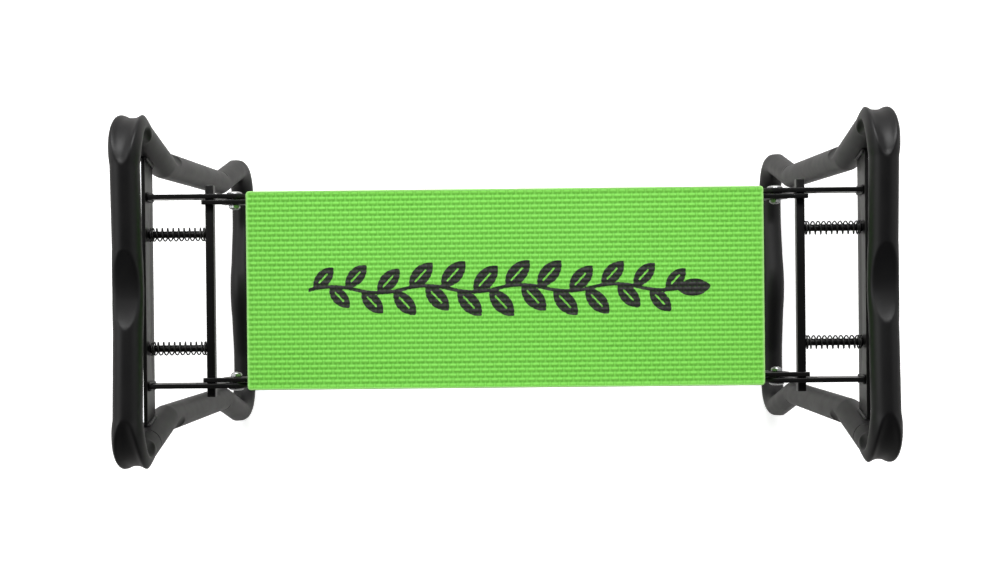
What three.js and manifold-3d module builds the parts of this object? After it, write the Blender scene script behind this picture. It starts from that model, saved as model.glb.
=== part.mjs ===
// Folding garden kneeler seat: a padded seat board on a flat-bar seat frame, carried by two
// bent-tube leg loops. Each loop hinges on a pair of bolts at the end of the seat and is held
// open by a sprung latch bar. Millimetres, +Z up. The origin is on the floor, under the middle
// of the seat; +X runs along the seat, and the seat is shown open at sitting height.
// Left is -X, right is +X, front is -Y and rear is +Y.
import * as THREE from 'three';
import { mergeVertices } from 'three/addons/utils/BufferGeometryUtils.js';
import Module from 'manifold-3d';

const wasm = await Module();
wasm.setup();

// ---------------------------------------------------------------- dimensions
const GAP = 0.3;                 // clearance left between pieces that rest on one another
const ENDS = [['left', -1], ['right', 1]];
const ROWS = [['front', -1], ['rear', 1]];
const FACES = [['top', 1], ['bottom', -1]];

// seat
const PAD_LENGTH = 400;          // along X
const PAD_WIDTH = 154;           // along Y
const PAD_CORNER_R = 3;
const FOAM_THICK = 15;
const FOAM_EDGE = 1.2;           // chamfer round the foam
const BOARD_THICK = 2.8;
const BOARD_INSET = 2;           // board edge inside the foam edge
const BOARD_CORNER_R = 2;
const SEAT_MID_Z = 404;          // seat frame centre, level with the hinge pins
const RAIL_HIGH = 11.2;
const RAIL_IN_Y = 68.0;          // inner face of the side rail
const RAIL_THICK = 3.4;
const MEMBER_PITCH = 150;        // spacing of the cross members
const MEMBER_WIDE = 20;
const BOARD_FROM_MID = RAIL_HIGH / 2 + GAP;                // to the board's inner face
const FOAM_FROM_MID = BOARD_FROM_MID + BOARD_THICK + GAP;  // to the foam's inner face

// board screws
const SCREW_X = [-MEMBER_PITCH, MEMBER_PITCH];
const SCREW_Y = [-45, 45];
const SCREW_R = 1.6;
const SCREW_LONG = 7.6;
const SCREW_TIP_R = SCREW_R * 0.4;
const SCREW_TIP_LONG = 2;
const SCREW_HEAD_R = 3.6;
const SCREW_HEAD_HIGH = 2.1;
const SCREW_RIM_HIGH = 0.3;      // straight rim above the countersink
const SCREW_HOLE_R = SCREW_R + GAP + 0.1;
const OVERCUT = 1;               // how far cutting tools run past a face

// hinge
const PIVOT_X = 213;
const PLATE_HIGH = 20;           // height of the ears and arms at the hinge
const EAR_START_X = PAD_LENGTH / 2 + 1;
const EAR_TIP = 24.6;            // ear tip, outboard of the pivot
const EAR_TIP_CHAMFER = 1.6;
const EAR_ARC_STEPS = 6;
const LIP_UNDER = 4.6;           // underside of the ear's upper lip, above the pivot
const LIP_CHAMFER = 0.8;
const PRONG_X = { left: -6.3, right: -3.5 }; // prong's outboard side, outboard of the pivot
const PRONG_DOWN = 22;
const PRONG_CHAMFER = 1.5;
const BORE_R = 2.85;
const WASHER_R = 6;
const WASHER_THICK = 0.6;
const WASHER_IN_Y = RAIL_IN_Y + RAIL_THICK + GAP;
const ARM_IN_Y = WASHER_IN_Y + WASHER_THICK + GAP;
const ARM_THICK = 3.6;
const ARM_END_STEPS = 8;
const BOLT_R = 2.5;
const BOLT_END_Y = 64.0;
const BOLT_TIP = { inset: 0.5, long: 0.4 };
const BOLT_HEAD_R = 6;
const BOLT_HEAD_HIGH = 2.0;
const BOLT_RIM = { inset: 0.3, high: 0.8 };
const BOLT_DOME = { shoulderR: 0.72, shoulderHigh: 0.78, crownR: 0.35 }; // fractions of the head
const NUT_AF = 8;                // across the flats
const NUT_HIGH = 3.2;
const ROUND_SIDES = 12;          // bolts, screws and round holes
const WASHER_SIDES = 14;

// leg loop
const LOOP_X = 280;              // plane of the bent tube
const TUBE_R = 11.1;             // corner radius of the faceted 22 mm tube
const TUBE_SIDES = 14;
const TUBE_BORE_R = 10.3;
const BORE_SIDES = 8;
const FOOT_Z = TUBE_R * Math.cos(Math.PI / TUBE_SIDES); // tube centre with a flat on the floor
const TOP_Z = 479;               // tube centre of the top bar, at its ends
const TOP_DIP = 8;               // drop of the top bar at its middle
const FOOT_RISE = 15;            // rise of the foot bar at its middle
const FOOT_FLAT_Y = 66;          // the foot bar is level outboard of this
const WAIST_TOP_Y = 103.8;
const WAIST_TOP_Z = 363;
const WAIST_LOW_Y = 105.6;
const WAIST_LOW_Z = 132;
const TOP_CORNER_Y = 131.9;      // where the flared leg and the top bar would meet
const FOOT_CORNER_Y = 133.5;
const TOP_CORNER_R = 24;
const TOP_MIDDLE_R = 120;
const WAIST_R = 45;
const FOOT_CORNER_R = 32;
const FOOT_FLAT_R = 60;
const FOOT_MIDDLE_R = 80;
const SEAM_Z = 421;              // swaged joint in the tube, just above the crossbar
const SWAGE_R = 9.2;
const SWAGE_BORE_R = 8.2;
const SWAGE_LONG = 28;
const BORE_STEP = { start: 2, end: 5, nextAfter: 7 }; // bore widening past the joint, along tube

// crossbar and latch
const CROSSBAR_X = [280.7, 283.7];
const CROSSBAR_HIGH = 25;
const LATCH_BAR_X = [229.15, 235.65];
const LATCH_BAR_HIGH = 8;
const LATCH_BAR_HALF = 83.4;
const LATCH_TRAVEL = 9.5;
const SLOT_CLEAR_X = 0.45;
const SLOT_CLEAR_Z = 0.4;
const ROD_Y = 45;
const ROD_R = 2.75;
const ROD_END_X = 286.8;
const ROD_CHAMFER = 0.8;
const ROD_SIDES = 10;
const SPRING_R = 5.0;            // to the wire's centre
const WIRE_R = 0.6;
const WIRE_SIDES = 4;
const COIL_TURNS = [1, 9, 2];    // closed at the latch bar, active, closed at the crossbar
const STEPS_PER_TURN = 8;

const FINISHES = {
  foam: { color: 0x6fdc35, roughness: 0.8, metalness: 0.0 },
  board: { color: 0x9a7a52, roughness: 0.85, metalness: 0.0 },
  tube: { color: 0x1d1d1f, roughness: 0.42, metalness: 0.2 },
  plate: { color: 0x161617, roughness: 0.45, metalness: 0.2 },
  spring: { color: 0x141414, roughness: 0.35, metalness: 0.6 },
  zinc: { color: 0xb4b8bc, roughness: 0.3, metalness: 1.0 },
};

// ---------------------------------------------------------------- helpers
function addPiece(group, name, geometry, finish) {
  const mesh = new THREE.Mesh(geometry, new THREE.MeshStandardMaterial(FINISHES[finish]));
  mesh.name = name;
  group.add(mesh);
}

// Positions only, with shared corners merged.
function bare(geometry) {
  const copy = geometry.clone();
  for (const key of Object.keys(copy.attributes)) {
    if (key !== 'position') copy.deleteAttribute(key);
  }
  copy.clearGroups();
  return mergeVertices(copy, 1e-4);
}

function indexed(position, index) {
  const geometry = new THREE.BufferGeometry();
  geometry.setAttribute('position', position);
  geometry.setIndex(index);
  geometry.computeVertexNormals();
  return geometry;
}

function toSolid(geometry) {
  const merged = bare(geometry);
  return new wasm.Manifold(new wasm.Mesh({
    numProp: 3,
    vertProperties: new Float32Array(merged.attributes.position.array),
    triVerts: new Uint32Array(merged.index.array),
  }));
}

function cut(body, tools) {
  let solid = toSolid(body);
  for (const tool of tools) solid = solid.subtract(toSolid(tool));
  const mesh = solid.getMesh();
  const position = new THREE.BufferAttribute(new Float32Array(mesh.vertProperties), 3);
  return indexed(position, Array.from(mesh.triVerts));
}

// A right-hand leg piece, mirrored across X when it is wanted at the left end.
function atEnd(geometry, end) {
  if (end > 0) return geometry;
  const mirrored = bare(geometry);
  mirrored.applyMatrix4(new THREE.Matrix4().makeScale(-1, 1, 1));
  const index = Array.from(mirrored.index.array);
  for (let i = 0; i < index.length; i += 3) {
    [index[i + 1], index[i + 2]] = [index[i + 2], index[i + 1]];
  }
  return indexed(mirrored.attributes.position, index);
}

// [low, high] of a layer starting a distance near from the middle, towards side (+1 or -1).
function span(side, near, thick, middle = 0) {
  const ends = [near, near + thick].map((distance) => middle + side * distance);
  return side > 0 ? ends : ends.reverse();
}

function extruded(points, holes, depth) {
  const vectors = (list) => list.map(([across, up]) => new THREE.Vector2(across, up));
  const shape = new THREE.Shape(vectors(points));
  for (const hole of holes) shape.holes.push(new THREE.Path(vectors(hole)));
  return new THREE.ExtrudeGeometry(shape, { depth, bevelEnabled: false, steps: 1 });
}

// A polygon drawn in X and Z, given thickness along Y.
function plateXZ(points, holes, [y0, y1]) {
  const plate = extruded(points, holes, y1 - y0);
  plate.rotateX(Math.PI / 2);
  plate.translate(0, y1, 0);
  return plate;
}

// A polygon drawn in Y and Z, given thickness along X.
function plateYZ(points, holes, [x0, x1]) {
  const plate = extruded(points, holes, x1 - x0);
  plate.applyMatrix4(new THREE.Matrix4().set(0, 0, 1, x0, 1, 0, 0, 0, 0, 1, 0, 0, 0, 0, 0, 1));
  return plate;
}

function arcPoints(centreX, centreZ, radius, start, sweep, steps) {
  const points = [];
  for (let k = 0; k <= steps; k++) {
    const angle = start + (sweep * k) / steps;
    points.push([centreX + radius * Math.cos(angle), centreZ + radius * Math.sin(angle)]);
  }
  return points;
}

// Angle of corner i of a polygon, half a side round from zero.
function cornerAngle(i, sides) {
  return (2 * Math.PI * (i + 0.5)) / sides;
}

function polygon(centreX, centreZ, cornerR, sides) {
  return Array.from({ length: sides }, (_, i) => [
    centreX + cornerR * Math.cos(cornerAngle(i, sides)),
    centreZ + cornerR * Math.sin(cornerAngle(i, sides)),
  ]);
}

// A polygon whose flats stand at flatR, so a round pin of that radius clears it.
function polygonRound(centreX, centreZ, flatR, sides) {
  return polygon(centreX, centreZ, flatR / Math.cos(Math.PI / sides), sides);
}

// Turned pieces. A profile is [radius, place on the axis], from the low end to the high end.
function turnedY(profile, sides, x, z) {
  const points = profile.map(([radius, along]) => new THREE.Vector2(radius, along));
  return new THREE.LatheGeometry(points, sides).translate(x, 0, z);
}

function turnedX(profile, sides, y, z) {
  return turnedY(profile, sides, 0, 0).rotateZ(-Math.PI / 2).translate(0, y, z);
}

function turnedZ(profile, x, y) {
  return turnedY(profile, ROUND_SIDES, 0, 0).rotateX(Math.PI / 2).translate(x, y, 0);
}

function box([x0, x1], [y0, y1], [z0, z1]) {
  const block = new THREE.BoxGeometry(x1 - x0, y1 - y0, z1 - z0);
  return block.translate((x0 + x1) / 2, (y0 + y1) / 2, (z0 + z1) / 2);
}

// ---------------------------------------------------------------- seat
function roundedRectangle(length, width, radius, segments) {
  const shape = new THREE.Shape();
  const endX = length / 2;
  const endY = width / 2;
  shape.moveTo(-endX + radius, -endY);
  shape.lineTo(endX - radius, -endY);
  shape.absarc(endX - radius, -endY + radius, radius, -Math.PI / 2, 0, false);
  shape.lineTo(endX, endY - radius);
  shape.absarc(endX - radius, endY - radius, radius, 0, Math.PI / 2, false);
  shape.lineTo(-endX + radius, endY);
  shape.absarc(-endX + radius, endY - radius, radius, Math.PI / 2, Math.PI, false);
  shape.lineTo(-endX, -endY + radius);
  shape.absarc(-endX + radius, -endY + radius, radius, Math.PI, 1.5 * Math.PI, false);
  return new THREE.Shape(shape.getPoints(segments));
}

function foamPad(face) {
  const [z0] = span(face, FOAM_FROM_MID, FOAM_THICK, SEAT_MID_Z);
  const shape = roundedRectangle(
    PAD_LENGTH - 2 * FOAM_EDGE, PAD_WIDTH - 2 * FOAM_EDGE, PAD_CORNER_R - FOAM_EDGE, 3);
  const pad = new THREE.ExtrudeGeometry(shape, {
    depth: FOAM_THICK - 2 * FOAM_EDGE,
    bevelEnabled: true,
    bevelThickness: FOAM_EDGE,
    bevelSize: FOAM_EDGE,
    bevelSegments: 1,
    steps: 1,
  });
  return pad.translate(0, 0, z0 + FOAM_EDGE);
}

// Turned from a board's outer face. The profile is [radius, depth into the board], deepest first.
function sunkInBoard(profile, face, x, y) {
  const headZ = SEAT_MID_Z + face * (BOARD_FROM_MID + BOARD_THICK);
  const points = profile.map(([radius, depth]) => [radius, headZ - face * depth]);
  return turnedZ(face > 0 ? points : points.reverse(), x, y);
}

// Countersunk screw: head flush in the board, shank in the cross member.
function boardScrew(face, x, y) {
  return sunkInBoard([
    [0, SCREW_LONG],
    [SCREW_TIP_R, SCREW_LONG],
    [SCREW_R, SCREW_LONG - SCREW_TIP_LONG],
    [SCREW_R, SCREW_HEAD_HIGH],
    [SCREW_HEAD_R, SCREW_RIM_HIGH],
    [SCREW_HEAD_R, 0],
    [0, 0],
  ], face, x, y);
}

function countersinkTool(face, x, y) {
  return sunkInBoard([
    [0, BOARD_THICK + OVERCUT],
    [SCREW_HOLE_R, BOARD_THICK + OVERCUT],
    [SCREW_HOLE_R, SCREW_HEAD_HIGH],
    [SCREW_HEAD_R + GAP, SCREW_RIM_HIGH],
    [SCREW_HEAD_R + GAP, -OVERCUT],
    [0, -OVERCUT],
  ], face, x, y);
}

function board(face) {
  const [z0] = span(face, BOARD_FROM_MID, BOARD_THICK, SEAT_MID_Z);
  const shape = roundedRectangle(
    PAD_LENGTH - 2 * BOARD_INSET, PAD_WIDTH - 2 * BOARD_INSET, BOARD_CORNER_R, 2);
  const blank = new THREE.ExtrudeGeometry(shape, {
    depth: BOARD_THICK, bevelEnabled: false, steps: 1,
  });
  blank.translate(0, 0, z0);
  return cut(blank, SCREW_X.flatMap((x) => SCREW_Y.map((y) => countersinkTool(face, x, y))));
}

// Cross member between the side rails, with clearance holes where board screws enter it.
function crossMember(x) {
  const half = RAIL_IN_Y - GAP;
  const low = SEAT_MID_Z - RAIL_HIGH / 2;
  const high = SEAT_MID_Z + RAIL_HIGH / 2;
  const bar = box([x - MEMBER_WIDE / 2, x + MEMBER_WIDE / 2], [-half, half], [low, high]);
  if (!SCREW_X.includes(x)) return bar;
  const profile = [
    [0, low - OVERCUT], [SCREW_HOLE_R, low - OVERCUT],
    [SCREW_HOLE_R, high + OVERCUT], [0, high + OVERCUT],
  ];
  return cut(bar, SCREW_Y.map((y) => turnedZ(profile, x, y)));
}

// Hinge ear as [outboard, up] from the pivot. It has an upper lip that lies over the latch bar
// and a prong that stops the bar when the leg is folded.
function earOutline(prong) {
  const half = PLATE_HIGH / 2;
  const start = EAR_START_X - PIVOT_X;
  const sweep = Math.PI / 2 + Math.asin(LIP_UNDER / half);
  return [
    [start, -RAIL_HIGH / 2],
    [start, -PRONG_DOWN],
    [prong - PRONG_CHAMFER, -PRONG_DOWN],
    [prong, -PRONG_DOWN + PRONG_CHAMFER],
    [prong, -half],
    ...arcPoints(0, 0, half, -Math.PI / 2, sweep, EAR_ARC_STEPS),
    [EAR_TIP - LIP_CHAMFER, LIP_UNDER],
    [EAR_TIP, LIP_UNDER + LIP_CHAMFER],
    [EAR_TIP, half - EAR_TIP_CHAMFER],
    [EAR_TIP - EAR_TIP_CHAMFER, half],
    [start, half],
    [start, RAIL_HIGH / 2],
  ];
}

// Side rail: a flat bar on edge inside the pad, ending in the hinge ears.
function sideRail(side) {
  const placed = (end, prong) => earOutline(prong)
    .map(([outboard, up]) => [end * (PIVOT_X + outboard), SEAT_MID_Z + up]);
  const outline = [...placed(1, PRONG_X.right), ...placed(-1, PRONG_X.left).reverse()];
  const holes = [-PIVOT_X, PIVOT_X].map((x) => polygonRound(x, SEAT_MID_Z, BORE_R, ROUND_SIDES));
  return plateXZ(outline, holes, span(side, RAIL_IN_Y, RAIL_THICK));
}

// ---------------------------------------------------------------- pivot hardware
// Turned about a pivot. The profile is drawn for the rear row and mirrored for the front.
function turnedAtPivot(profile, sides, x, side) {
  const points = side > 0 ? profile : profile.map(([radius, y]) => [radius, -y]).reverse();
  return turnedY(points, sides, x, SEAT_MID_Z);
}

function pivotBolt(x, side) {
  const headY = ARM_IN_Y + ARM_THICK + GAP;
  return turnedAtPivot([
    [0, BOLT_END_Y],
    [BOLT_R - BOLT_TIP.inset, BOLT_END_Y],
    [BOLT_R, BOLT_END_Y + BOLT_TIP.long],
    [BOLT_R, headY],
    [BOLT_HEAD_R, headY],
    [BOLT_HEAD_R - BOLT_RIM.inset, headY + BOLT_RIM.high],
    [BOLT_HEAD_R * BOLT_DOME.shoulderR, headY + BOLT_HEAD_HIGH * BOLT_DOME.shoulderHigh],
    [BOLT_HEAD_R * BOLT_DOME.crownR, headY + BOLT_HEAD_HIGH],
    [0, headY + BOLT_HEAD_HIGH],
  ], ROUND_SIDES, x, side);
}

function pivotWasher(x, side) {
  const outY = WASHER_IN_Y + WASHER_THICK;
  return turnedAtPivot([
    [BORE_R, WASHER_IN_Y], [WASHER_R, WASHER_IN_Y], [WASHER_R, outY], [BORE_R, outY],
    [BORE_R, WASHER_IN_Y],
  ], WASHER_SIDES, x, side);
}

function pivotNut(x, side) {
  const hexagon = polygonRound(x, SEAT_MID_Z, NUT_AF / 2, 6);
  const bore = polygonRound(x, SEAT_MID_Z, BORE_R, ROUND_SIDES);
  return plateXZ(hexagon, [bore], span(side, RAIL_IN_Y - GAP - NUT_HIGH, NUT_HIGH));
}

// ---------------------------------------------------------------- leg loop
const LEG_SLOPE = (TOP_CORNER_Y - WAIST_TOP_Y) / (TOP_Z - WAIST_TOP_Z);

// |y| of the upper flared leg at a height
function legAt(z) {
  return WAIST_TOP_Y + (z - WAIST_TOP_Z) * LEG_SLOPE;
}

// Corners of the tube's centreline: y, z, bend radius. It starts at the swaged joint on the
// front leg, runs up and over the top bar, down the rear leg, along the foot bar and back up
// the front leg to the joint.
const CORNERS = [
  [-legAt(SEAM_Z), SEAM_Z, 0],
  [-TOP_CORNER_Y, TOP_Z, TOP_CORNER_R],
  [0, TOP_Z - TOP_DIP, TOP_MIDDLE_R],
  [TOP_CORNER_Y, TOP_Z, TOP_CORNER_R],
  [WAIST_TOP_Y, WAIST_TOP_Z, WAIST_R],
  [WAIST_LOW_Y, WAIST_LOW_Z, WAIST_R],
  [FOOT_CORNER_Y, FOOT_Z, FOOT_CORNER_R],
  [FOOT_FLAT_Y, FOOT_Z, FOOT_FLAT_R],
  [0, FOOT_Z + FOOT_RISE, FOOT_MIDDLE_R],
  [-FOOT_FLAT_Y, FOOT_Z, FOOT_FLAT_R],
  [-FOOT_CORNER_Y, FOOT_Z, FOOT_CORNER_R],
  [-WAIST_LOW_Y, WAIST_LOW_Z, WAIST_R],
  [-WAIST_TOP_Y, WAIST_TOP_Z, WAIST_R],
  [-legAt(SEAM_Z - GAP), SEAM_Z - GAP, 0],
];

// Straight runs joined by arcs. In these vectors, x holds the model's y and y holds its z.
class LoopCentreline {
  constructor(corners) {
    this.runs = [];
    this.length = 0;
    const places = corners.map(([y, z]) => new THREE.Vector2(y, z));
    let from = places[0];
    for (let i = 1; i < places.length - 1; i++) {
      const radius = corners[i][2];
      const before = places[i].clone().sub(places[i - 1]).normalize();
      const after = places[i + 1].clone().sub(places[i]).normalize();
      const turn = Math.atan2(before.cross(after), before.dot(after));
      const reach = radius * Math.tan(Math.abs(turn) / 2);
      const enter = places[i].clone().addScaledVector(before, -reach);
      this.addLine(from, enter);
      const sign = Math.sign(turn);
      const toCentre = new THREE.Vector2(-before.y, before.x).multiplyScalar(sign * radius);
      const centre = enter.clone().add(toCentre);
      const start = Math.atan2(enter.y - centre.y, enter.x - centre.x);
      this.addRun({
        kind: 'arc', corner: i, centre, radius, start, sign, long: radius * Math.abs(turn),
      });
      from = places[i].clone().addScaledVector(after, reach);
    }
    this.addLine(from, places[places.length - 1]);
  }

  addLine(from, to) {
    const heading = to.clone().sub(from).normalize();
    this.addRun({ kind: 'line', from, heading, long: to.distanceTo(from) });
  }

  addRun(run) {
    run.at = this.length;
    this.runs.push(run);
    this.length += run.long;
  }

  frameAt(distance) {
    const run = this.runs.findLast(({ at }) => distance >= at - 1e-9);
    const along = distance - run.at;
    if (run.kind === 'line') {
      return {
        place: run.from.clone().addScaledVector(run.heading, along),
        heading: run.heading,
      };
    }
    const angle = run.start + (run.sign * along) / run.radius;
    const spoke = new THREE.Vector2(Math.cos(angle), Math.sin(angle));
    return {
      place: run.centre.clone().addScaledVector(spoke, run.radius),
      heading: new THREE.Vector2(-spoke.y * run.sign, spoke.x * run.sign),
    };
  }
}
const centreline = new LoopCentreline(CORNERS);

// Where the bender has pushed the outer wall in, as a leaf-shaped hollow with raised sides:
// corner number, reach before, reach after, half width over tube radius, depth,
// widening per mm of depth, raised side over depth
const DENTS = [
  [1, 34, 27, 0.8, 5.4, 0.026, 0.38],
  [3, 27, 34, 0.8, 5.4, 0.026, 0.38],
  [2, 28, 32, 0.9, 4.6, 0.012, 0.06],
  [6, 30, 24, 0.8, 4.6, 0.012, 0.08],
  [10, 24, 30, 0.8, 4.6, 0.012, 0.08],
  [8, 27, 27, 0.88, 3.4, 0.012, 0.06],
].map(([corner, before, after, wide, depth, widening, raise]) => {
  const arc = centreline.runs.find((run) => run.corner === corner);
  const middle = arc.at + arc.long / 2;
  return { middle, before, after, halfWidth: wide * TUBE_R, depth, widening, raise };
});

const DENT_FORM = {
  widthPower: 0.55,    // how the width narrows towards the ends
  leastHalfWidth: 0.4,
  depthPower: 0.75,    // how the depth fades towards the ends
  floorPower: 0.1,     // extra fade of the hollow alone
  softness: 0.012,     // rounding where the hollow meets the wall
  fadeIn: 0.35 * TUBE_R, // outward distance over which the dent takes full effect
  ridgeSpread: 2,      // width of the raised side
  ridgePower: 0.4,     // how the raised side fades towards the ends
};

// Moves a point of the tube's section, given as distances outward and across (along X).
function dented(distance, outward, across) {
  const form = DENT_FORM;
  for (const dent of DENTS) {
    const offset = distance - dent.middle;
    const fraction = offset / (offset < 0 ? dent.before : dent.after);
    if (Math.abs(fraction) >= 1) continue;
    const core = 1 - fraction * fraction;
    const halfWidth = dent.halfWidth * core ** form.widthPower + form.leastHalfWidth;
    const depth = dent.depth * core ** form.depthPower;
    const bowl = 1 - (across / halfWidth) ** 2;
    const softBowl = 0.5 * (bowl + Math.sqrt(bowl * bowl + form.softness));
    const strength = Math.min(1, Math.max(0, outward / form.fadeIn));
    const ridge = Math.exp(-(((Math.abs(across) - halfWidth) / form.ridgeSpread) ** 2));
    outward -= depth * softBowl * core ** form.floorPower * strength;
    outward += dent.raise * depth * ridge * strength * core ** form.ridgePower;
    across *= 1 + dent.widening * depth;
  }
  return [outward, across];
}

// One ring of the tube, as a flat list of coordinates.
function ringAt(distance, radius, sides, planeX) {
  const { place, heading } = centreline.frameAt(Math.max(0, distance));
  // The swage runs back below the joint, in line with the leg.
  place.addScaledVector(heading, Math.min(0, distance));
  // The path runs clockwise seen from +X, so its left is outward.
  const out = new THREE.Vector2(-heading.y, heading.x);
  const ring = [];
  for (const section of polygon(0, 0, radius, sides)) {
    const [outward, across] = dented(distance, ...section);
    ring.push(planeX + across, place.x + out.x * outward, place.y + out.y * outward);
  }
  return ring;
}

const SHARP_TURN = 1;            // radians
const SHARP_STEPS = 7;
const GENTLE_STEPS = 2;
const DENT_STATIONS = [1, 0.85, 0.6, 0.3]; // fractions of a dent's reach
const LEAST_STATION_STEP = 2.4;

// Distances along the centreline where the tube has a ring.
function stations() {
  const { runs, length } = centreline;
  const wanted = [0, length];
  for (const run of runs) {
    wanted.push(run.at, run.at + run.long);
    if (run.kind !== 'arc') continue;
    const steps = run.long / run.radius > SHARP_TURN ? SHARP_STEPS : GENTLE_STEPS;
    for (let k = 1; k < steps; k++) wanted.push(run.at + (run.long * k) / steps);
  }
  for (const { middle, before, after } of DENTS) {
    for (const part of DENT_STATIONS) wanted.push(middle - before * part, middle + after * part);
    wanted.push(middle);
  }
  const sorted = wanted.filter((at) => at >= 0 && at <= length).sort((a, b) => a - b);
  const kept = [];
  for (const at of sorted) {
    if (!kept.length || at - kept[kept.length - 1] > LEAST_STATION_STEP) kept.push(at);
  }
  kept[kept.length - 1] = length;
  return kept;
}

function legLoop(planeX) {
  const along = stations();
  // rings: distance along the centreline, corner radius
  const outer = [
    [-SWAGE_LONG, SWAGE_R], [0, SWAGE_R],
    ...along.map((at) => [at, TUBE_R]),
  ];
  const inner = [
    [-SWAGE_LONG, SWAGE_BORE_R], [BORE_STEP.start, SWAGE_BORE_R], [BORE_STEP.end, TUBE_BORE_R],
    ...along.filter((at) => at > BORE_STEP.nextAfter).map((at) => [at, TUBE_BORE_R]),
  ];
  const points = [];
  const index = [];
  const addTriangle = (a, b, c, flip) => index.push(...(flip ? [a, c, b] : [a, b, c]));

  // Adds the rings and the wall through them, and returns each ring's first point number.
  function addSkin(rings, sides, flip) {
    const starts = rings.map(([distance, radius]) => {
      const start = points.length / 3;
      points.push(...ringAt(distance, radius, sides, planeX));
      return start;
    });
    for (let k = 0; k + 1 < starts.length; k++) {
      for (let i = 0; i < sides; i++) {
        const j = (i + 1) % sides;
        const opposite = starts[k + 1] + j;
        if (flip) {
          addTriangle(starts[k] + i, starts[k] + j, opposite, true);
          addTriangle(starts[k] + i, opposite, starts[k + 1] + i, true);
        } else {
          addTriangle(starts[k] + i, starts[k] + j, opposite, false);
          addTriangle(starts[k] + i, opposite, starts[k + 1] + i, false);
        }
      }
    }
    return starts;
  }

  function addCap(outStart, outR, inStart, inR, flip) {
    const flat = (radius, sides) => polygon(0, 0, radius, sides)
      .map(([outward, across]) => new THREE.Vector2(outward, across));
    const contour = flat(outR, TUBE_SIDES);
    const hole = flat(inR, BORE_SIDES);
    const ids = [...contour.map((_, i) => outStart + i), ...hole.map((_, i) => inStart + i)];
    for (const [a, b, c] of THREE.ShapeUtils.triangulateShape(contour, [hole])) {
      addTriangle(ids[a], ids[b], ids[c], flip);
    }
  }

  const outStarts = addSkin(outer, TUBE_SIDES, false);
  const inStarts = addSkin(inner, BORE_SIDES, true);
  addCap(outStarts[0], SWAGE_R, inStarts[0], SWAGE_BORE_R, true);
  addCap(outStarts.at(-1), TUBE_R, inStarts.at(-1), TUBE_BORE_R, false);
  return indexed(new THREE.Float32BufferAttribute(points, 3), index);
}

// ---------------------------------------------------------------- crossbar and hinge arms
// Crossbar: flat bar on edge, cut to the slope of the legs, with two holes for the latch rods.
function crossbar() {
  const low = SEAT_MID_Z - CROSSBAR_HIGH / 2;
  const high = SEAT_MID_Z + CROSSBAR_HIGH / 2;
  const reach = (z) => legAt(z) - TUBE_R * Math.hypot(1, LEG_SLOPE) - GAP;
  const outline = [
    [-reach(low), low], [reach(low), low], [reach(high), high], [-reach(high), high],
  ];
  const rodHoles = [-ROD_Y, ROD_Y]
    .map((y) => polygonRound(y, SEAT_MID_Z, ROD_R + GAP, ROUND_SIDES));
  return plateYZ(outline, rodHoles, CROSSBAR_X);
}

// Hinge arm: flat bar on edge from the crossbar to the pivot, slotted for the latch bar.
function hingeArm(side) {
  const half = PLATE_HIGH / 2;
  const endX = CROSSBAR_X[0] - GAP;
  const outline = [
    [endX, SEAT_MID_Z - half],
    [endX, SEAT_MID_Z + half],
    ...arcPoints(PIVOT_X, SEAT_MID_Z, half, Math.PI / 2, Math.PI, ARM_END_STEPS),
  ];
  const slotX = [LATCH_BAR_X[0] - SLOT_CLEAR_X, LATCH_BAR_X[1] + LATCH_TRAVEL + SLOT_CLEAR_X];
  const slotHalf = LATCH_BAR_HIGH / 2 + SLOT_CLEAR_Z;
  const slot = [
    [slotX[0], SEAT_MID_Z - slotHalf], [slotX[1], SEAT_MID_Z - slotHalf],
    [slotX[1], SEAT_MID_Z + slotHalf], [slotX[0], SEAT_MID_Z + slotHalf],
  ];
  const bore = polygonRound(PIVOT_X, SEAT_MID_Z, BORE_R, ROUND_SIDES);
  return plateXZ(outline, [bore, slot], span(side, ARM_IN_Y, ARM_THICK));
}

// ---------------------------------------------------------------- latch
function latchBar() {
  const half = LATCH_BAR_HIGH / 2;
  return box(
    LATCH_BAR_X, [-LATCH_BAR_HALF, LATCH_BAR_HALF], [SEAT_MID_Z - half, SEAT_MID_Z + half]);
}

function latchRod(y) {
  const startX = LATCH_BAR_X[1] + GAP;
  return turnedX([
    [0, startX],
    [ROD_R, startX],
    [ROD_R, ROD_END_X - ROD_CHAMFER],
    [ROD_R - ROD_CHAMFER, ROD_END_X],
    [0, ROD_END_X],
  ], ROD_SIDES, y, SEAT_MID_Z);
}

// Centre of the spring wire, coiled about X from x0 to x1.
class CoilCurve extends THREE.Curve {
  constructor(x0, x1, y, z) {
    super();
    const closedPitch = 2 * WIRE_R + GAP;
    const [first, , last] = COIL_TURNS.map((turns) => turns * closedPitch);
    this.travel = [first, x1 - x0 - 2 * WIRE_R - first - last, last];
    this.start = new THREE.Vector3(x0 + WIRE_R, y, z);
    this.totalTurns = COIL_TURNS.reduce((sum, turns) => sum + turns, 0);
  }

  getPoint(fraction, target = new THREE.Vector3()) {
    const angle = 2 * Math.PI * fraction * this.totalTurns;
    let left = fraction * this.totalTurns;
    let { x } = this.start;
    for (let k = 0; k < COIL_TURNS.length && left > 0; k++) {
      const turns = Math.min(left, COIL_TURNS[k]);
      x += (this.travel[k] * turns) / COIL_TURNS[k];
      left -= turns;
    }
    return target.set(
      x, this.start.y + SPRING_R * Math.cos(angle), this.start.z + SPRING_R * Math.sin(angle));
  }
}

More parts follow.
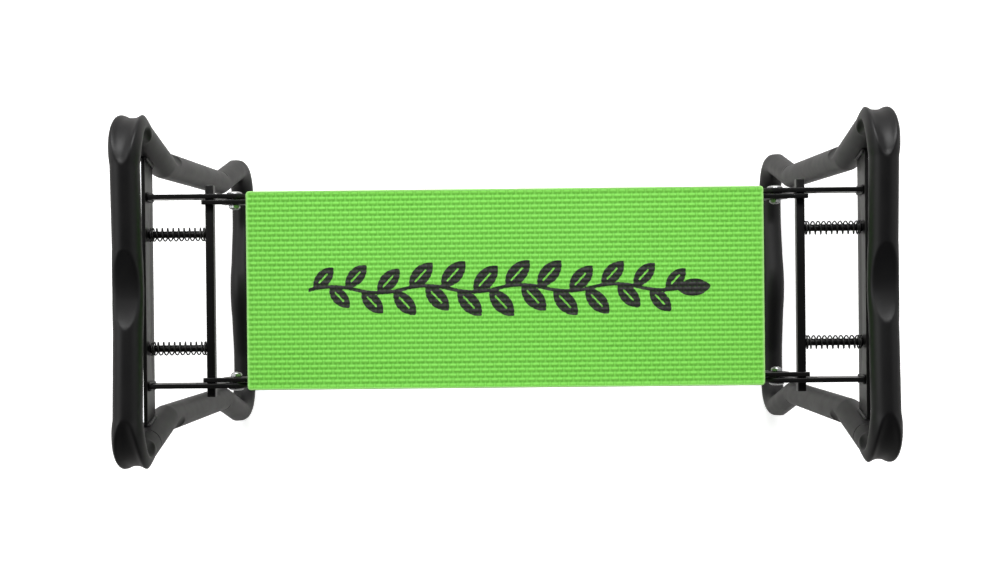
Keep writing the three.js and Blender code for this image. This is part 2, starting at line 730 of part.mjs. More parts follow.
// The four springs are alike, so the left pair is the right pair turned half round, not mirrored.
function latchSpring(y, end) {
  const wire = new THREE.Shape(Array.from({ length: WIRE_SIDES }, (_, i) => {
    const angle = (2 * Math.PI * i) / WIRE_SIDES;
    return new THREE.Vector2(WIRE_R * Math.cos(angle), WIRE_R * Math.sin(angle));
  }));
  const curve = new CoilCurve(LATCH_BAR_X[1] + GAP, CROSSBAR_X[0] - GAP, y * end, SEAT_MID_Z);
  const coil = new THREE.ExtrudeGeometry(wire, {
    steps: curve.totalTurns * STEPS_PER_TURN, extrudePath: curve, bevelEnabled: false,
  });
  return end > 0 ? coil : coil.rotateZ(Math.PI);
}

// ---------------------------------------------------------------- assembly
function buildSeat() {
  const seat = new THREE.Group();
  for (const [name, face] of FACES) addPiece(seat, `foam_pad_${name}`, foamPad(face), 'foam');
  for (const [name, face] of FACES) addPiece(seat, `board_${name}`, board(face), 'board');
  SCREW_X.flatMap((x) => SCREW_Y.map((y) => [x, y])).forEach(([x, y], i) => {
    for (const [name, face] of FACES) {
      addPiece(seat, `board_screw_${name}_${i + 1}`, boardScrew(face, x, y), 'zinc');
    }
  });
  for (const [name, place] of [['left', -1], ['middle', 0], ['right', 1]]) {
    addPiece(seat, `cross_member_${name}`, crossMember(place * MEMBER_PITCH), 'plate');
  }
  for (const [name, side] of ROWS) addPiece(seat, `side_rail_${name}`, sideRail(side), 'plate');
  for (const [endName, end] of ENDS) {
    for (const [rowName, side] of ROWS) {
      const x = PIVOT_X * end;
      const place = `${endName}_${rowName}`;
      addPiece(seat, `pivot_bolt_${place}`, pivotBolt(x, side), 'zinc');
      addPiece(seat, `pivot_washer_${place}`, pivotWasher(x, side), 'zinc');
      addPiece(seat, `pivot_nut_${place}`, pivotNut(x, side), 'zinc');
    }
  }
  return seat;
}

function buildLeg(name, end) {
  const leg = new THREE.Group();
  addPiece(leg, `${name}_leg_loop`, legLoop(LOOP_X * end), 'tube');
  addPiece(leg, `${name}_crossbar`, atEnd(crossbar(), end), 'plate');
  for (const [row, side] of ROWS) {
    addPiece(leg, `${name}_hinge_arm_${row}`, atEnd(hingeArm(side), end), 'plate');
  }
  addPiece(leg, `${name}_latch_bar`, atEnd(latchBar(), end), 'plate');
  for (const [row, side] of ROWS) {
    const y = ROD_Y * side;
    addPiece(leg, `${name}_latch_rod_${row}`, atEnd(latchRod(y), end), 'plate');
    addPiece(leg, `${name}_latch_spring_${row}`, latchSpring(y, end), 'spring');
  }
  return leg;
}

const kneeler = new THREE.Group();
kneeler.name = 'garden_kneeler_seat';
kneeler.add(buildSeat());
for (const [name, end] of ENDS) kneeler.add(buildLeg(name, end));

export default kneeler;
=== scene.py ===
import math
from functools import cached_property

import bpy
import numpy as np
from mathutils import Matrix, Vector
from mathutils.geometry import tessellate_polygon

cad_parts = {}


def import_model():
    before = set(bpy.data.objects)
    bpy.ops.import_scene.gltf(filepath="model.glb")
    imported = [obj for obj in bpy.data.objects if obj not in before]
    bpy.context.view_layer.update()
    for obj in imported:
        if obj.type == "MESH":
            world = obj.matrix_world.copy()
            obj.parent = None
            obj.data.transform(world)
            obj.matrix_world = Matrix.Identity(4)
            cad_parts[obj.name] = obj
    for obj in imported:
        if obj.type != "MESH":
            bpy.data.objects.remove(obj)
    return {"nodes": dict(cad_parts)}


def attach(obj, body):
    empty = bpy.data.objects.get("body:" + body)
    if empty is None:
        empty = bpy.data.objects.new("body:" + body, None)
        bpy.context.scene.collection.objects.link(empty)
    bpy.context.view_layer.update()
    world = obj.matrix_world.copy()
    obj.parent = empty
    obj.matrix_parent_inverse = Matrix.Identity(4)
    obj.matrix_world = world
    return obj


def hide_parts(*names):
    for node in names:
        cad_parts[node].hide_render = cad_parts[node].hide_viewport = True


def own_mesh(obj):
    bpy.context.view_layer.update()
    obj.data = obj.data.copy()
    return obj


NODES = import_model()["nodes"]
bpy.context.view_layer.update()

# ------------------------------------------------------------------ dimensions shared by the pieces

MM = 0.001
ENDS = (("left", -1), ("right", 1))
FLANKS = (("front", -1), ("rear", 1))
GAP = 0.3                            # air left between neighbouring pieces
MID_Z = 404.0                        # middle of the seat, height of the pivots

PAD_X, PAD_Y = 200.0, 77.0           # half length and half width of the foam
RAIL_HIGH, RAIL_Y = 11.2, (68.0, 71.4)
PIVOT_X = 213.0
PLATE_HALF = 10.0                    # half height of the hinge plates
ARM_Y = (72.6, 76.2)
BORE_R = 2.85

LOOP_X, TUBE_R = 280.0, 11.0
TOP_Z, TOP_CORNER_Y = 479.0, 131.9
WAIST_TOP, WAIST_LOW = (103.8, 363.0), (105.6, 132.0)
CROSSBAR_X = (280.7, 283.7)
CROSSBAR_Z = (MID_Z - 12.5, MID_Z + 12.5)
LATCH_X, LATCH_HALF_Y, LATCH_HALF_Z = (229.15, 235.65), 83.4, 4.0
LATCH_TRAVEL = 9.5
ROD_Y, ROD_R, ROD_END_X = 45.0, 2.75, 286.8

# ------------------------------------------------------------------ node materials


class Nodes:
    """Short ways to add nodes to a tree. Values may be numbers or sockets."""

    def __init__(self, tree):
        self.tree = tree
        tree.nodes.clear()

    def node(self, kind):
        return self.tree.nodes.new(kind)

    def plug(self, value, socket):
        if isinstance(value, bpy.types.NodeSocket):
            self.tree.links.new(value, socket)
        else:
            socket.default_value = value

    def calc(self, operation, a, b):
        n = self.node("ShaderNodeMath")
        n.operation = operation
        self.plug(a, n.inputs[0])
        self.plug(b, n.inputs[1])
        return n.outputs[0]

    def span(self, value, start, end, low=0.0, high=1.0, smooth=False):
        """Maps start..end to low..high and holds it there beyond."""
        n = self.node("ShaderNodeMapRange")
        n.clamp = True
        if smooth:
            n.interpolation_type = "SMOOTHSTEP"
        for socket, v in zip(n.inputs[:5], (value, start, end, low, high)):
            self.plug(v, socket)
        return n.outputs[0]

    def camera_ray(self):
        return self.node("ShaderNodeLightPath").outputs["Is Camera Ray"]


class Shader(Nodes):
    """A material round one Principled node."""

    def __init__(self, name):
        self.mat = bpy.data.materials.new(name)
        self.mat.use_nodes = True
        super().__init__(self.mat.node_tree)
        self.out = self.node("ShaderNodeOutputMaterial")
        self.bsdf = self.node("ShaderNodeBsdfPrincipled")
        self.plug(self.bsdf.outputs[0], self.out.inputs[0])

    @cached_property
    def coord(self):
        return self.node("ShaderNodeTexCoord").outputs["Object"]

    def set(self, name, value):
        self.plug(value, self.bsdf.inputs[name])

    def stretched(self, x, y, z):
        n = self.node("ShaderNodeMapping")
        n.inputs["Scale"].default_value = (x, y, z)
        self.plug(self.coord, n.inputs["Vector"])
        return n.outputs[0]

    def noise(self, scale, detail=3.0, roughness=0.55, coord=None, distortion=0.0):
        n = self.node("ShaderNodeTexNoise")
        n.inputs["Scale"].default_value = scale
        n.inputs["Detail"].default_value = detail
        n.inputs["Roughness"].default_value = roughness
        n.inputs["Distortion"].default_value = distortion
        self.plug(coord or self.coord, n.inputs["Vector"])
        return n.outputs[0]

    def spread(self, noise, low, high):
        """Maps the usual reach of a noise to low..high."""
        return self.span(noise, start=0.3, end=0.7, low=low, high=high)

    def blend(self, a, b, share):
        """A weighted sum, with a's share given."""
        return self.calc("ADD", self.calc("MULTIPLY", a, share), self.calc("MULTIPLY", b, 1 - share))

    def attribute(self, name):
        n = self.node("ShaderNodeAttribute")
        n.attribute_name = name
        return n.outputs["Fac"]

    def mix(self, factor, low, high):
        """Colour low where the factor is 0, high where it is 1."""
        n = self.node("ShaderNodeMix")
        n.data_type = "RGBA"
        self.plug(factor, n.inputs[0])
        for colour, socket in ((low, n.inputs[6]), (high, n.inputs[7])):
            is_socket = isinstance(colour, bpy.types.NodeSocket)
            self.plug(colour if is_socket else (*colour, 1.0), socket)
        return n.outputs[2]

    def bump(self, height, strength, distance, normal=None):
        n = self.node("ShaderNodeBump")
        n.inputs["Strength"].default_value = strength
        n.inputs["Distance"].default_value = distance
        self.plug(height, n.inputs["Height"])
        if normal is not None:
            self.plug(normal, n.inputs["Normal"])
        return n.outputs[0]


def powder_coat(name, low, high, roughness, peel):
    """Black coating between two colours; peel is the strength of its orange-peel relief."""
    s = Shader(name)
    fine = s.noise(scale=1400.0, detail=2.0)
    cloud = s.blend(s.noise(scale=38.0, detail=4.0), fine, share=0.7)
    s.set("Base Color", s.mix(cloud, low, high))
    s.set("Roughness", s.spread(s.noise(scale=60.0), low=roughness - 0.02, high=roughness + 0.03))
    s.set("Metallic", 0.0)
    s.set("IOR", 1.5)
    s.set("Specular IOR Level", 0.28)
    waves = s.noise(scale=520.0, detail=2.0, roughness=0.4)
    normal = s.bump(waves, strength=peel, distance=0.00012)
    s.set("Normal", s.bump(fine, strength=peel * 0.6, distance=0.00005, normal=normal))
    return s.mat


def zinc_plate(name):
    s = Shader(name)
    cloud = s.noise(scale=210.0, detail=4.0)
    s.set("Base Color", s.mix(cloud, low=(0.34, 0.35, 0.36), high=(0.62, 0.63, 0.62)))
    s.set("Metallic", 1.0)
    s.set("Roughness", s.spread(s.noise(scale=900.0), low=0.22, high=0.38))
    s.set("Normal", s.bump(s.noise(scale=1800.0), strength=0.12, distance=0.00004))
    return s.mat


def spring_wire(name):
    s = Shader(name)
    cloud = s.noise(scale=300.0)
    s.set("Base Color", s.mix(cloud, low=(0.006, 0.006, 0.0065), high=(0.020, 0.0195, 0.019)))
    s.set("Metallic", 0.25)
    s.set("Roughness", s.spread(s.noise(scale=700.0), low=0.30, high=0.42))
    s.set("Normal", s.bump(s.noise(scale=2200.0, detail=2.0), strength=0.15, distance=0.00003))
    return s.mat


def hardboard(name):
    s = Shader(name)
    fibre = s.noise(scale=90.0, detail=5.0, coord=s.stretched(x=1.0, y=5.0, z=6.0), distortion=0.6)
    speck = s.noise(scale=1600.0)
    brown = s.mix(s.blend(fibre, speck, share=0.6), low=(0.16, 0.095, 0.05), high=(0.36, 0.24, 0.13))
    s.set("Base Color", brown)
    s.set("Roughness", s.spread(speck, low=0.74, high=0.9))
    s.set("Normal", s.bump(speck, strength=0.3, distance=0.0001))
    return s.mat


def weld_metal(name):
    s = Shader(name)
    lump = s.noise(scale=420.0)
    s.set("Base Color", s.mix(lump, low=(0.005, 0.005, 0.0055), high=(0.012, 0.0115, 0.011)))
    s.set("Roughness", s.spread(s.noise(scale=800.0), low=0.32, high=0.5))
    s.set("Normal", s.bump(lump, strength=0.5, distance=0.0003))
    return s.mat


def ink_mask(s, relief):
    """Ink lies on the crests and thins out in the valleys near its edges."""
    ragged = s.calc("SUBTRACT", s.noise(scale=700.0, detail=2.0), 0.5)
    edge = s.calc("ADD", s.attribute("ink"), s.calc("MULTIPLY", ragged, 0.5))
    edge = s.calc("ADD", edge, s.span(relief, start=0.0, end=0.6, low=0.35, high=-0.05))
    mask = s.span(edge, start=-0.18, end=0.12, low=1.0, high=0.0, smooth=True)
    return s.calc("MULTIPLY", mask, s.span(relief, start=0.0, end=0.35, low=0.86, high=1.0))


def printed_foam(name):
    """Green foam, driven by the pad attributes relief, rim and ink."""
    s = Shader(name)
    relief = s.attribute("relief")
    cloud = s.noise(scale=24.0, detail=4.0)
    grain = s.noise(scale=2100.0)
    # painted shade: the green darkens from the crests down into the valleys of the woven relief
    depth = s.span(relief, start=0.0, end=0.85)
    green = s.mix(depth, low=(0.080, 0.375, 0.018), high=(0.220, 0.700, 0.084))
    green = s.mix(s.spread(cloud, low=0.0, high=0.22), green, high=(0.215, 0.640, 0.090))
    pale = s.span(grain, start=0.25, end=0.75, low=0.0, high=0.16)
    green = s.mix(pale, green, high=(0.240, 0.680, 0.120))
    # paler on the rounded rim of the face and a little on the sides of the pad
    rim_paleness = s.calc("MULTIPLY", s.attribute("rim"), 0.45)
    green = s.mix(rim_paleness, green, high=(0.50, 0.76, 0.34))
    mask = ink_mask(s, relief)
    # the ink is darker in the valleys than on the crests, which is painted shade, and a little green
    # there where it lies thin
    ink = s.mix(relief, low=(0.006, 0.010, 0.005), high=(0.024, 0.024, 0.022))
    s.set("Base Color", s.mix(mask, green, ink))
    rough = s.spread(s.noise(scale=300.0), low=0.56, high=0.70)
    s.set("Roughness", s.calc("SUBTRACT", rough, s.calc("MULTIPLY", mask, 0.12)))
    s.set("IOR", 1.45)
    s.set("Specular IOR Level", 0.45)
    soft = s.bump(s.noise(scale=620.0, detail=2.0), strength=0.25, distance=0.0002)
    s.set("Normal", s.bump(grain, strength=0.35, distance=0.00009, normal=soft))
    return s.mat


TUBE_PAINT = powder_coat(
    "powder_coat_tube", low=(0.0018, 0.0018, 0.0021), high=(0.0046, 0.0044, 0.0046),
    roughness=0.44, peel=0.014,
)
BAR_PAINT = powder_coat(
    "powder_coat_bar", low=(0.0020, 0.0020, 0.0020), high=(0.0052, 0.0050, 0.0048),
    roughness=0.34, peel=0.03,
)
ZINC = zinc_plate("zinc_hardware")
WIRE = spring_wire("spring_wire_black")
BOARD = hardboard("hardboard_brown")
WELD = weld_metal("weld_coated")
FOAM = printed_foam("foam_green_printed")

# ------------------------------------------------------------------ mesh helpers


def faces_inwards(points, faces):
    volume = 0.0
    for face in faces:
        a = points[face[0]]
        for i in range(1, len(face) - 1):
            b, c = points[face[i]], points[face[i + 1]]
            volume += (
                a[0] * (b[1] * c[2] - b[2] * c[1])
                + a[1] * (b[2] * c[0] - b[0] * c[2])
                + a[2] * (b[0] * c[1] - b[1] * c[0])
            )
    return volume < 0


def solid(name, points, faces, mat, body, slot, node=None, sharp=32.0, attributes=None):
    """A closed mesh from points in mm, facing outwards, riding on a body of the part.

    node: the CAD piece it stands for. sharp: angle in degrees beyond which an edge is sharp.
    """
    points = np.asarray(points, float) * MM
    faces = [tuple(int(i) for i in face) for face in faces]
    if faces_inwards(points, faces):
        faces = [face[::-1] for face in faces]
    mesh = bpy.data.meshes.new(name)
    mesh.from_pydata(points.tolist(), [], faces)
    mesh.update()
    mesh.shade_smooth()
    mesh.set_sharp_from_angle(angle=math.radians(sharp))
    for key, values in (attributes or {}).items():
        layer = mesh.attributes.new(key, "FLOAT", "POINT")
        layer.data.foreach_set("value", np.asarray(values, np.float32))
    mesh.materials.append(mat)
    ob = bpy.data.objects.new(name, mesh)
    bpy.context.scene.collection.objects.link(ob)
    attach(ob, body)
    if node:
        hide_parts(node)
    return ob


def unit(vector):
    return vector / np.linalg.norm(vector)


def unit_rows(vectors):
    return vectors / np.linalg.norm(vectors, axis=1)[:, None]


def turn_between(a, b):
    """Signed angle from one flat vector to another."""
    return math.atan2(a[0] * b[1] - a[1] * b[0], a @ b)


def ring_faces(count, sides, closed_path):
    """Quads between rings of points that follow each other."""
    faces = []
    for k in range(count if closed_path else count - 1):
        a, b = k * sides, ((k + 1) % count) * sides
        for i in range(sides):
            j = (i + 1) % sides
            faces.append((a + i, a + j, b + j, b + i))
    return faces


def ring(centre, side, other, radius, sides):
    angles = [2 * math.pi * i / sides for i in range(sides)]
    return [centre + radius * (math.cos(a) * side + math.sin(a) * other) for a in angles]


def capped_tube(rings, start_tip, end_tip):
    """Rings joined to a tube, with a fan of triangles to a tip at each end."""
    count, sides = len(rings), len(rings[0])
    points = [p for one in rings for p in one] + [start_tip, end_tip]
    faces = ring_faces(count, sides, False)
    for i in range(sides):
        faces.append(((i + 1) % sides, i, count * sides))
    last = (count - 1) * sides
    for i in range(sides):
        faces.append((last + i, last + (i + 1) % sides, count * sides + 1))
    return np.array(points), faces


def lathe(rows, sides, closed=False, modulation=None):
    """Turns rows of (height, radius) about an axis; a radius may be a function of the angle.

    Gives points (radial cos, radial sin, height). modulation changes (radius, height, angle).
    """
    points, faces, starts = [], [], []
    for height, radius in rows:
        if radius == 0:
            starts.append((len(points), 1))
            points.append((0.0, 0.0, height))
            continue
        starts.append((len(points), sides))
        for i in range(sides):
            a = 2 * math.pi * i / sides
            r = radius(a) if callable(radius) else radius
            if modulation:
                r = modulation(r, height, a)
            points.append((r * math.cos(a), r * math.sin(a), height))
    pairs = list(zip(starts, starts[1:]))
    if closed:
        pairs.append((starts[-1], starts[0]))
    for (a, a_count), (b, b_count) in pairs:
        for i in range(sides):
            j = (i + 1) % sides
            if a_count == 1:
                faces.append((a, b + j, b + i))
            elif b_count == 1:
                faces.append((a + i, a + j, b))
            else:
                faces.append((a + i, a + j, b + j, b + i))
    return np.array(points), faces


def about_y(points, x, z, way):
    return np.stack([x + points[:, 0], way * points[:, 2], z + points[:, 1]], 1)


def fillet(outline, radii, segments):
    """Rounds the corners of a polygon. radii: one for all, or a list; 0 leaves a corner as is."""
    count = len(outline)
    if not isinstance(radii, list):
        radii = [radii] * count
    out = []
    for i, r in enumerate(radii):
        before, here, after = (np.array(outline[(i + k) % count], float) for k in (-1, 0, 1))
        a, b = before - here, after - here
        a_long, b_long = np.linalg.norm(a), np.linalg.norm(b)
        a, b = a / a_long, b / b_long
        angle = math.acos(float(np.clip(a @ b, -1, 1)))
        if r <= 0 or angle > math.radians(176):
            out.append(tuple(here))
            continue
        # the arc never takes more than half of either edge
        reach = min(r / math.tan(angle / 2), 0.48 * a_long, 0.48 * b_long)
        r = reach * math.tan(angle / 2)
        centre = here + unit(a + b) * (r / math.sin(angle / 2))
        start, end = here + a * reach - centre, here + b * reach - centre
        sweep = turn_between(start, end)
        for k in range(segments + 1):
            c, s = math.cos(sweep * k / segments), math.sin(sweep * k / segments)
            arm = np.array([c * start[0] - s * start[1], s * start[0] + c * start[1]])
            out.append(tuple(centre + arm))
    return out


def box_outline(u0, u1, v0, v1):
    return [(u0, v0), (u1, v0), (u1, v1), (u0, v1)]


def circle(u, v, radius, sides=40):
    angles = [2 * math.pi * i / sides for i in range(sides)]
    return [(u + radius * math.cos(a), v + radius * math.sin(a)) for a in angles]


def twice_area(loop):
    here = np.asarray(loop)
    after = np.roll(here, -1, 0)
    return float(np.sum(here[:, 0] * after[:, 1] - after[:, 0] * here[:, 1]))


def without_doubles(loop, near=0.02):
    out = []
    for p in loop:
        if not out or math.dist(p, out[-1]) > near:
            out.append(p)
    if math.dist(out[0], out[-1]) <= near:
        out.pop()
    return out


def inset(loop, distance):
    """Moves a loop to the left of its direction of travel."""
    loop = np.asarray(loop, float)
    edges = unit_rows(np.roll(loop, -1, 0) - loop)
    normals = np.stack([-edges[:, 1], edges[:, 0]], 1)
    mitres = normals + np.roll(normals, 1, 0)
    mitres /= np.maximum(1e-9, np.sum(mitres * normals, 1))[:, None]
    return loop + mitres * distance


def plate(outer, holes, t0, t1, bevel):
    """A flat plate between t0 and t1 with rounded edges: points (u, v, t) and faces."""
    steps = 3
    loops = [outer if twice_area(outer) > 0 else outer[::-1]]
    loops += [hole if twice_area(hole) < 0 else hole[::-1] for hole in holes]
    loops = [without_doubles(loop) for loop in loops]
    levels = []
    for k in range(steps + 1):
        a = math.pi / 2 * k / steps
        levels.append((t0 + bevel * (1 - math.cos(a)), bevel * (1 - math.sin(a))))
    levels += [(t0 + t1 - t, distance) for t, distance in levels[::-1]]
    points, faces, flat, ids, to_top = [], [], [], [], {}
    for loop in loops:
        starts = []
        for t, distance in levels:
            starts.append(len(points))
            points += [(p[0], p[1], t) for p in inset(loop, distance)]
        count = len(loop)
        for a, b in zip(starts, starts[1:]):
            for i in range(count):
                j = (i + 1) % count
                faces.append((a + i, a + j, b + j, b + i))
        low, high = starts[0], starts[-1]
        flat.append([Vector((*points[low + i][:2], 0.0)) for i in range(count)])
        ids += range(low, low + count)
        to_top.update((low + i, high + i) for i in range(count))
    for triangle in tessellate_polygon(flat):
        a, b, c = (ids[k] for k in triangle)
        pa, pb, pc = (points[k] for k in (a, b, c))
        if (pb[0] - pa[0]) * (pc[1] - pa[1]) - (pb[1] - pa[1]) * (pc[0] - pa[0]) < 0:
            b, c = c, b
        faces.append((a, c, b))
        faces.append((to_top[a], to_top[b], to_top[c]))
    return np.array(points), faces


def in_xz(points, way_x, way_y):
    """Stands a plate in the XZ plane, its thickness along Y."""
    return np.stack([way_x * points[:, 0], way_y * points[:, 2], points[:, 1]], 1)


# ------------------------------------------------------------------ foam pads

FOAM_FACE, FOAM_BACK = 24.0, 9.0     # distance of the woven face and the back from MID_Z
PAD_EDGE = 0.9                       # rounding of the edge of the face
PAD_CORNER_R = 2.6
BACK_EDGE = 0.7
CELL_X, CELL_Y = 3.57, 3.82          # repeat of the woven relief
CELL_LINES_X = (0.09, 0.29, 0.5, 0.71, 0.91)   # mesh lines as shares of a cell
CELL_LINES_Y = (0.0, 0.26, 0.5, 0.74)
RELIEF_DEEP, RIM_DROP = 0.85, 0.10
SIDE_WAVE = 0.07
NO_INK = 50.0                        # ink distance given to the sides and the back

STEM_X, STEM_HALF = (-152.0, 140.0), 1.45
LEAF_ROWS, LEAF_ANGLE = 12, math.radians(47)
LEAF_LONG, LEAF_WIDE = 27.5, 14.2
RIB_HALF, RIB_START, RIB_END = 0.62, 6.0, 19.5


def smooth_step(t):
    t = np.clip(t, 0, 1)
    return t * t * (3 - 2 * t)


def woven(x, y):
    """Height of the woven relief, 0 in the valleys and 1 on the crests."""
    u, v = x / CELL_X, y / CELL_Y
    i, j = np.floor(u), np.floor(v)
    u, v = u - i - 0.5, v - j - 0.5
    even = np.mod(i + j, 2) == 0

    def round_top(t):
        return np.clip(1 - t * t, 0, 1) ** 0.8

    def tip(t, fade=0.24):
        return smooth_step((1 - t) / fade)

    # strands along X and along Y take turns on top, each reaching into the next cells
    x_own = round_top(v / 0.37) * tip(np.abs(u) / 0.72)
    y_next = 0.78 * round_top(u / 0.27) * tip((1 - np.abs(v)) / 0.60, 0.3)
    y_own = 0.94 * round_top(u / 0.27) * tip(np.abs(v) / 0.60, 0.3)
    x_next = round_top(v / 0.37) * tip((1 - np.abs(u)) / 0.72)
    return np.where(even, np.maximum(x_own, y_next), np.maximum(y_own, x_next))


def leaf_axes(px, py, x, y, angle):
    """Places along and across a leaf whose stalk end is at (x, y)."""
    c, s = math.cos(angle), math.sin(angle)
    return (px - x) * c + (py - y) * s, -(px - x) * s + (py - y) * c


def leaf_distance(px, py, x, y, angle, long, wide):
    """Distance to a pointed leaf, the overlap of two circles; negative inside."""
    along, across = leaf_axes(px, py, x, y, angle)
    half_long, half_wide = long / 2, wide / 2
    radius = (half_long ** 2 + half_wide * half_wide) / (2 * half_wide)
    offset = radius - half_wide
    along, across = np.abs(along - half_long), np.abs(across)
    to_arc = np.hypot(along, across + offset) - radius
    to_tip = np.hypot(along - half_long, across)
    return np.where(across * half_long > offset * (along - half_long), to_arc, to_tip)


def stem_y(x):
    return 2.6 * np.sin((x + 6.0) * 2 * math.pi / 73.0)


def motif(px, py):
    """Distance to a spray of leaves along a waved stem; negative where there is ink."""
    x0, x1 = STEM_X
    dist = np.abs(py - stem_y(px)) - STEM_HALF
    dist = np.maximum(dist, np.maximum(x0 - px, px - x1))
    step = (x1 - x0 - 20) / (LEAF_ROWS - 1)
    for k in range(LEAF_ROWS):
        grow = 0.82 + 0.18 * math.sin(math.pi * k / (LEAF_ROWS - 1))
        for side in (1, -1):
            x = x0 + 4 + k * step + (0 if side > 0 else step / 2)
            if x > x1 - 4:
                continue
            place = (px, py, x, float(stem_y(x)), side * LEAF_ANGLE)
            leaf = leaf_distance(*place, LEAF_LONG * grow, LEAF_WIDE * grow)
            along, across = leaf_axes(*place)
            rib = np.maximum(np.abs(across) - RIB_HALF, RIB_START - along)
            rib = np.maximum(rib, along - RIB_END * grow)
            dist = np.minimum(dist, np.maximum(leaf, -rib))
    end_x = x1 - 8
    end = leaf_distance(px, py, end_x, float(stem_y(end_x)), math.radians(4), long=27, wide=13.5)
    return np.minimum(dist, end)


def pad_lines(half, cell, fractions):
    n = int(math.ceil(half / cell)) + 1
    lines = [c * cell + f * cell for c in range(-n, n) for f in fractions]
    return np.array([-half] + sorted(x for x in lines if abs(x) < half - 0.45) + [half])


def pad_face():
    """Grid of the woven face: X, Y, drop below the face, rim and relief."""
    half_x, half_y = PAD_X - PAD_EDGE, PAD_Y - PAD_EDGE
    xs = pad_lines(half_x, CELL_X, CELL_LINES_X)
    ys = pad_lines(half_y, CELL_Y, CELL_LINES_Y)
    X, Y = np.meshgrid(xs, ys, indexing="ij")
    near = np.minimum(half_x - np.abs(X), half_y - np.abs(Y))
    calm = smooth_step((near + 0.25) / 0.7)      # the relief fades out at the rim
    relief = woven(X, Y)
    drop = RELIEF_DEEP * (1 - relief) * calm + RIM_DROP * (1 - calm)
    # slow, then finer unevenness of a soft sheet
    drop = drop + 0.12 * (0.5 + 0.5 * np.sin(X / 41.0 + 1.3) * np.cos(Y / 29.0 + 0.4))
    drop = drop + 0.035 * (1 + np.sin(X * 3.17 + Y * 1.31) * np.sin(Y * 2.73 - X * 0.71))
    # round the four corners of the sheet
    r = PAD_CORNER_R - PAD_EDGE
    over_x, over_y = np.abs(X) - (half_x - r), np.abs(Y) - (half_y - r)
    corner = (over_x > 0) & (over_y > 0)
    diagonal = np.maximum(np.hypot(over_x, over_y), 1e-9)
    scale = np.where(corner, np.maximum(over_x, over_y) / diagonal, 1.0)
    round_x = np.where(corner, np.sign(X) * ((half_x - r) + over_x * scale), X)
    round_y = np.where(corner, np.sign(Y) * ((half_y - r) + over_y * scale), Y)
    rim = 1 - np.clip(near / 0.6, 0, 1)
    return round_x, round_y, drop, rim, relief * calm + 0.8 * (1 - calm)


def pad_profile():
    """Rows of (out, down) from the rim of the face to the back."""
    deep = FOAM_FACE - FOAM_BACK
    rows = []
    for degrees in (18, 36, 54, 72, 90):
        a = math.radians(degrees)
        rows.append((PAD_EDGE * math.sin(a), 0.22 + PAD_EDGE * (1 - math.cos(a))))
    rows += [(PAD_EDGE * out, deep * down) for out, down in ((0.93, 0.3), (0.88, 0.55), (0.93, 0.8))]
    for degrees in (0, 30, 60, 90):
        a = math.radians(degrees)
        out = PAD_EDGE - BACK_EDGE * (1 - math.cos(a))
        rows.append((out, deep - BACK_EDGE * (1 - math.sin(a))))
    return rows


def foam_pad(name, node, way):
    """One pad: woven relief on the outer face, soft edges and a flat back."""
    z_face, z_back = MID_Z + way * FOAM_FACE, MID_Z + way * FOAM_BACK
    X, Y, drop, rim, relief = pad_face()
    face_points = np.stack([X, Y, z_face - way * drop], -1).reshape(-1, 3)
    ids = np.arange(X.size).reshape(X.shape)
    faces = [
        (ids[i, j + 1], ids[i + 1, j + 1], ids[i + 1, j], ids[i, j])
        for i in range(X.shape[0] - 1) for j in range(X.shape[1] - 1)
    ]
    loop = [*ids[:, 0], *ids[-1, 1:], *ids[-2::-1, -1], *ids[0, -2:0:-1]]
    count = len(loop)
    base = face_points[loop, :2]
    tangent = unit_rows(np.roll(base, -1, 0) - np.roll(base, 1, 0))
    normal = np.stack([tangent[:, 1], -tangent[:, 0]], 1)
    run = np.cumsum(np.r_[0, np.linalg.norm(np.diff(base, axis=0), axis=1)])
    profile = pad_profile()
    rings, previous = [], loop
    for k, (out, down) in enumerate(profile):
        wavy = 4 < k < 8             # the three rows between the rounded edges
        offset = out + SIDE_WAVE * np.sin(run * 0.23 + k) * wavy - SIDE_WAVE * wavy
        flat = base + normal * offset[:, None]
        rings.append(np.c_[flat, np.full(count, z_face - way * down)])
        current = range(X.size + k * count, X.size + (k + 1) * count)
        for i in range(count):
            j = (i + 1) % count
            faces.append((previous[i], previous[j], current[j], current[i]))
        previous = current
    points = np.vstack([face_points, *rings, [[0.0, 0.0, z_back]]])
    faces += [(previous[i], previous[(i + 1) % count], len(points) - 1) for i in range(count)]
    side = len(profile) * count
    attributes = {
        "rim": [*rim.ravel(), *[1.0] * (4 * count), *[0.35] * (side - 4 * count), 0.0],
        "relief": [*relief.ravel(), *[0.85] * side, 0.8],
        "ink": [*motif(X, Y).ravel(), *[NO_INK] * (side + 1)],
    }
    solid(name, points, faces, FOAM, "seat", "green_foam", node, sharp=70.0, attributes=attributes)


# ------------------------------------------------------------------ side rails with hinge ears

EAR_TIP, LIP_UNDER = 24.6, 4.6       # from the pivot: end of the lip, height of its underside
PRONG_X = {"left": -6.3, "right": -3.5}
PRONG_DOWN = 22.0


def ear(prong):
    """Right-hand hinge ear, seen from its pivot: rows of (x, z, corner radius)."""
    h, root = PLATE_HALF, PAD_X + 1 - PIVOT_X
    rows = [
        (root, -RAIL_HIGH / 2, 1.2), (root, -PRONG_DOWN, 1.0),
        (prong, -PRONG_DOWN, 1.6), (prong, -h, 1.2),
    ]
    begin = math.asin(LIP_UNDER / h)
    for k in range(25):
        a = -math.pi / 2 + (math.pi / 2 + begin) * k / 24
        rows.append((h * math.cos(a), h * math.sin(a), 1.0 if k == 24 else 0))
    return rows + [
        (EAR_TIP, LIP_UNDER, 0.8), (EAR_TIP, h, 1.6), (root, h, 1.6), (root, RAIL_HIGH / 2, 1.2),
    ]


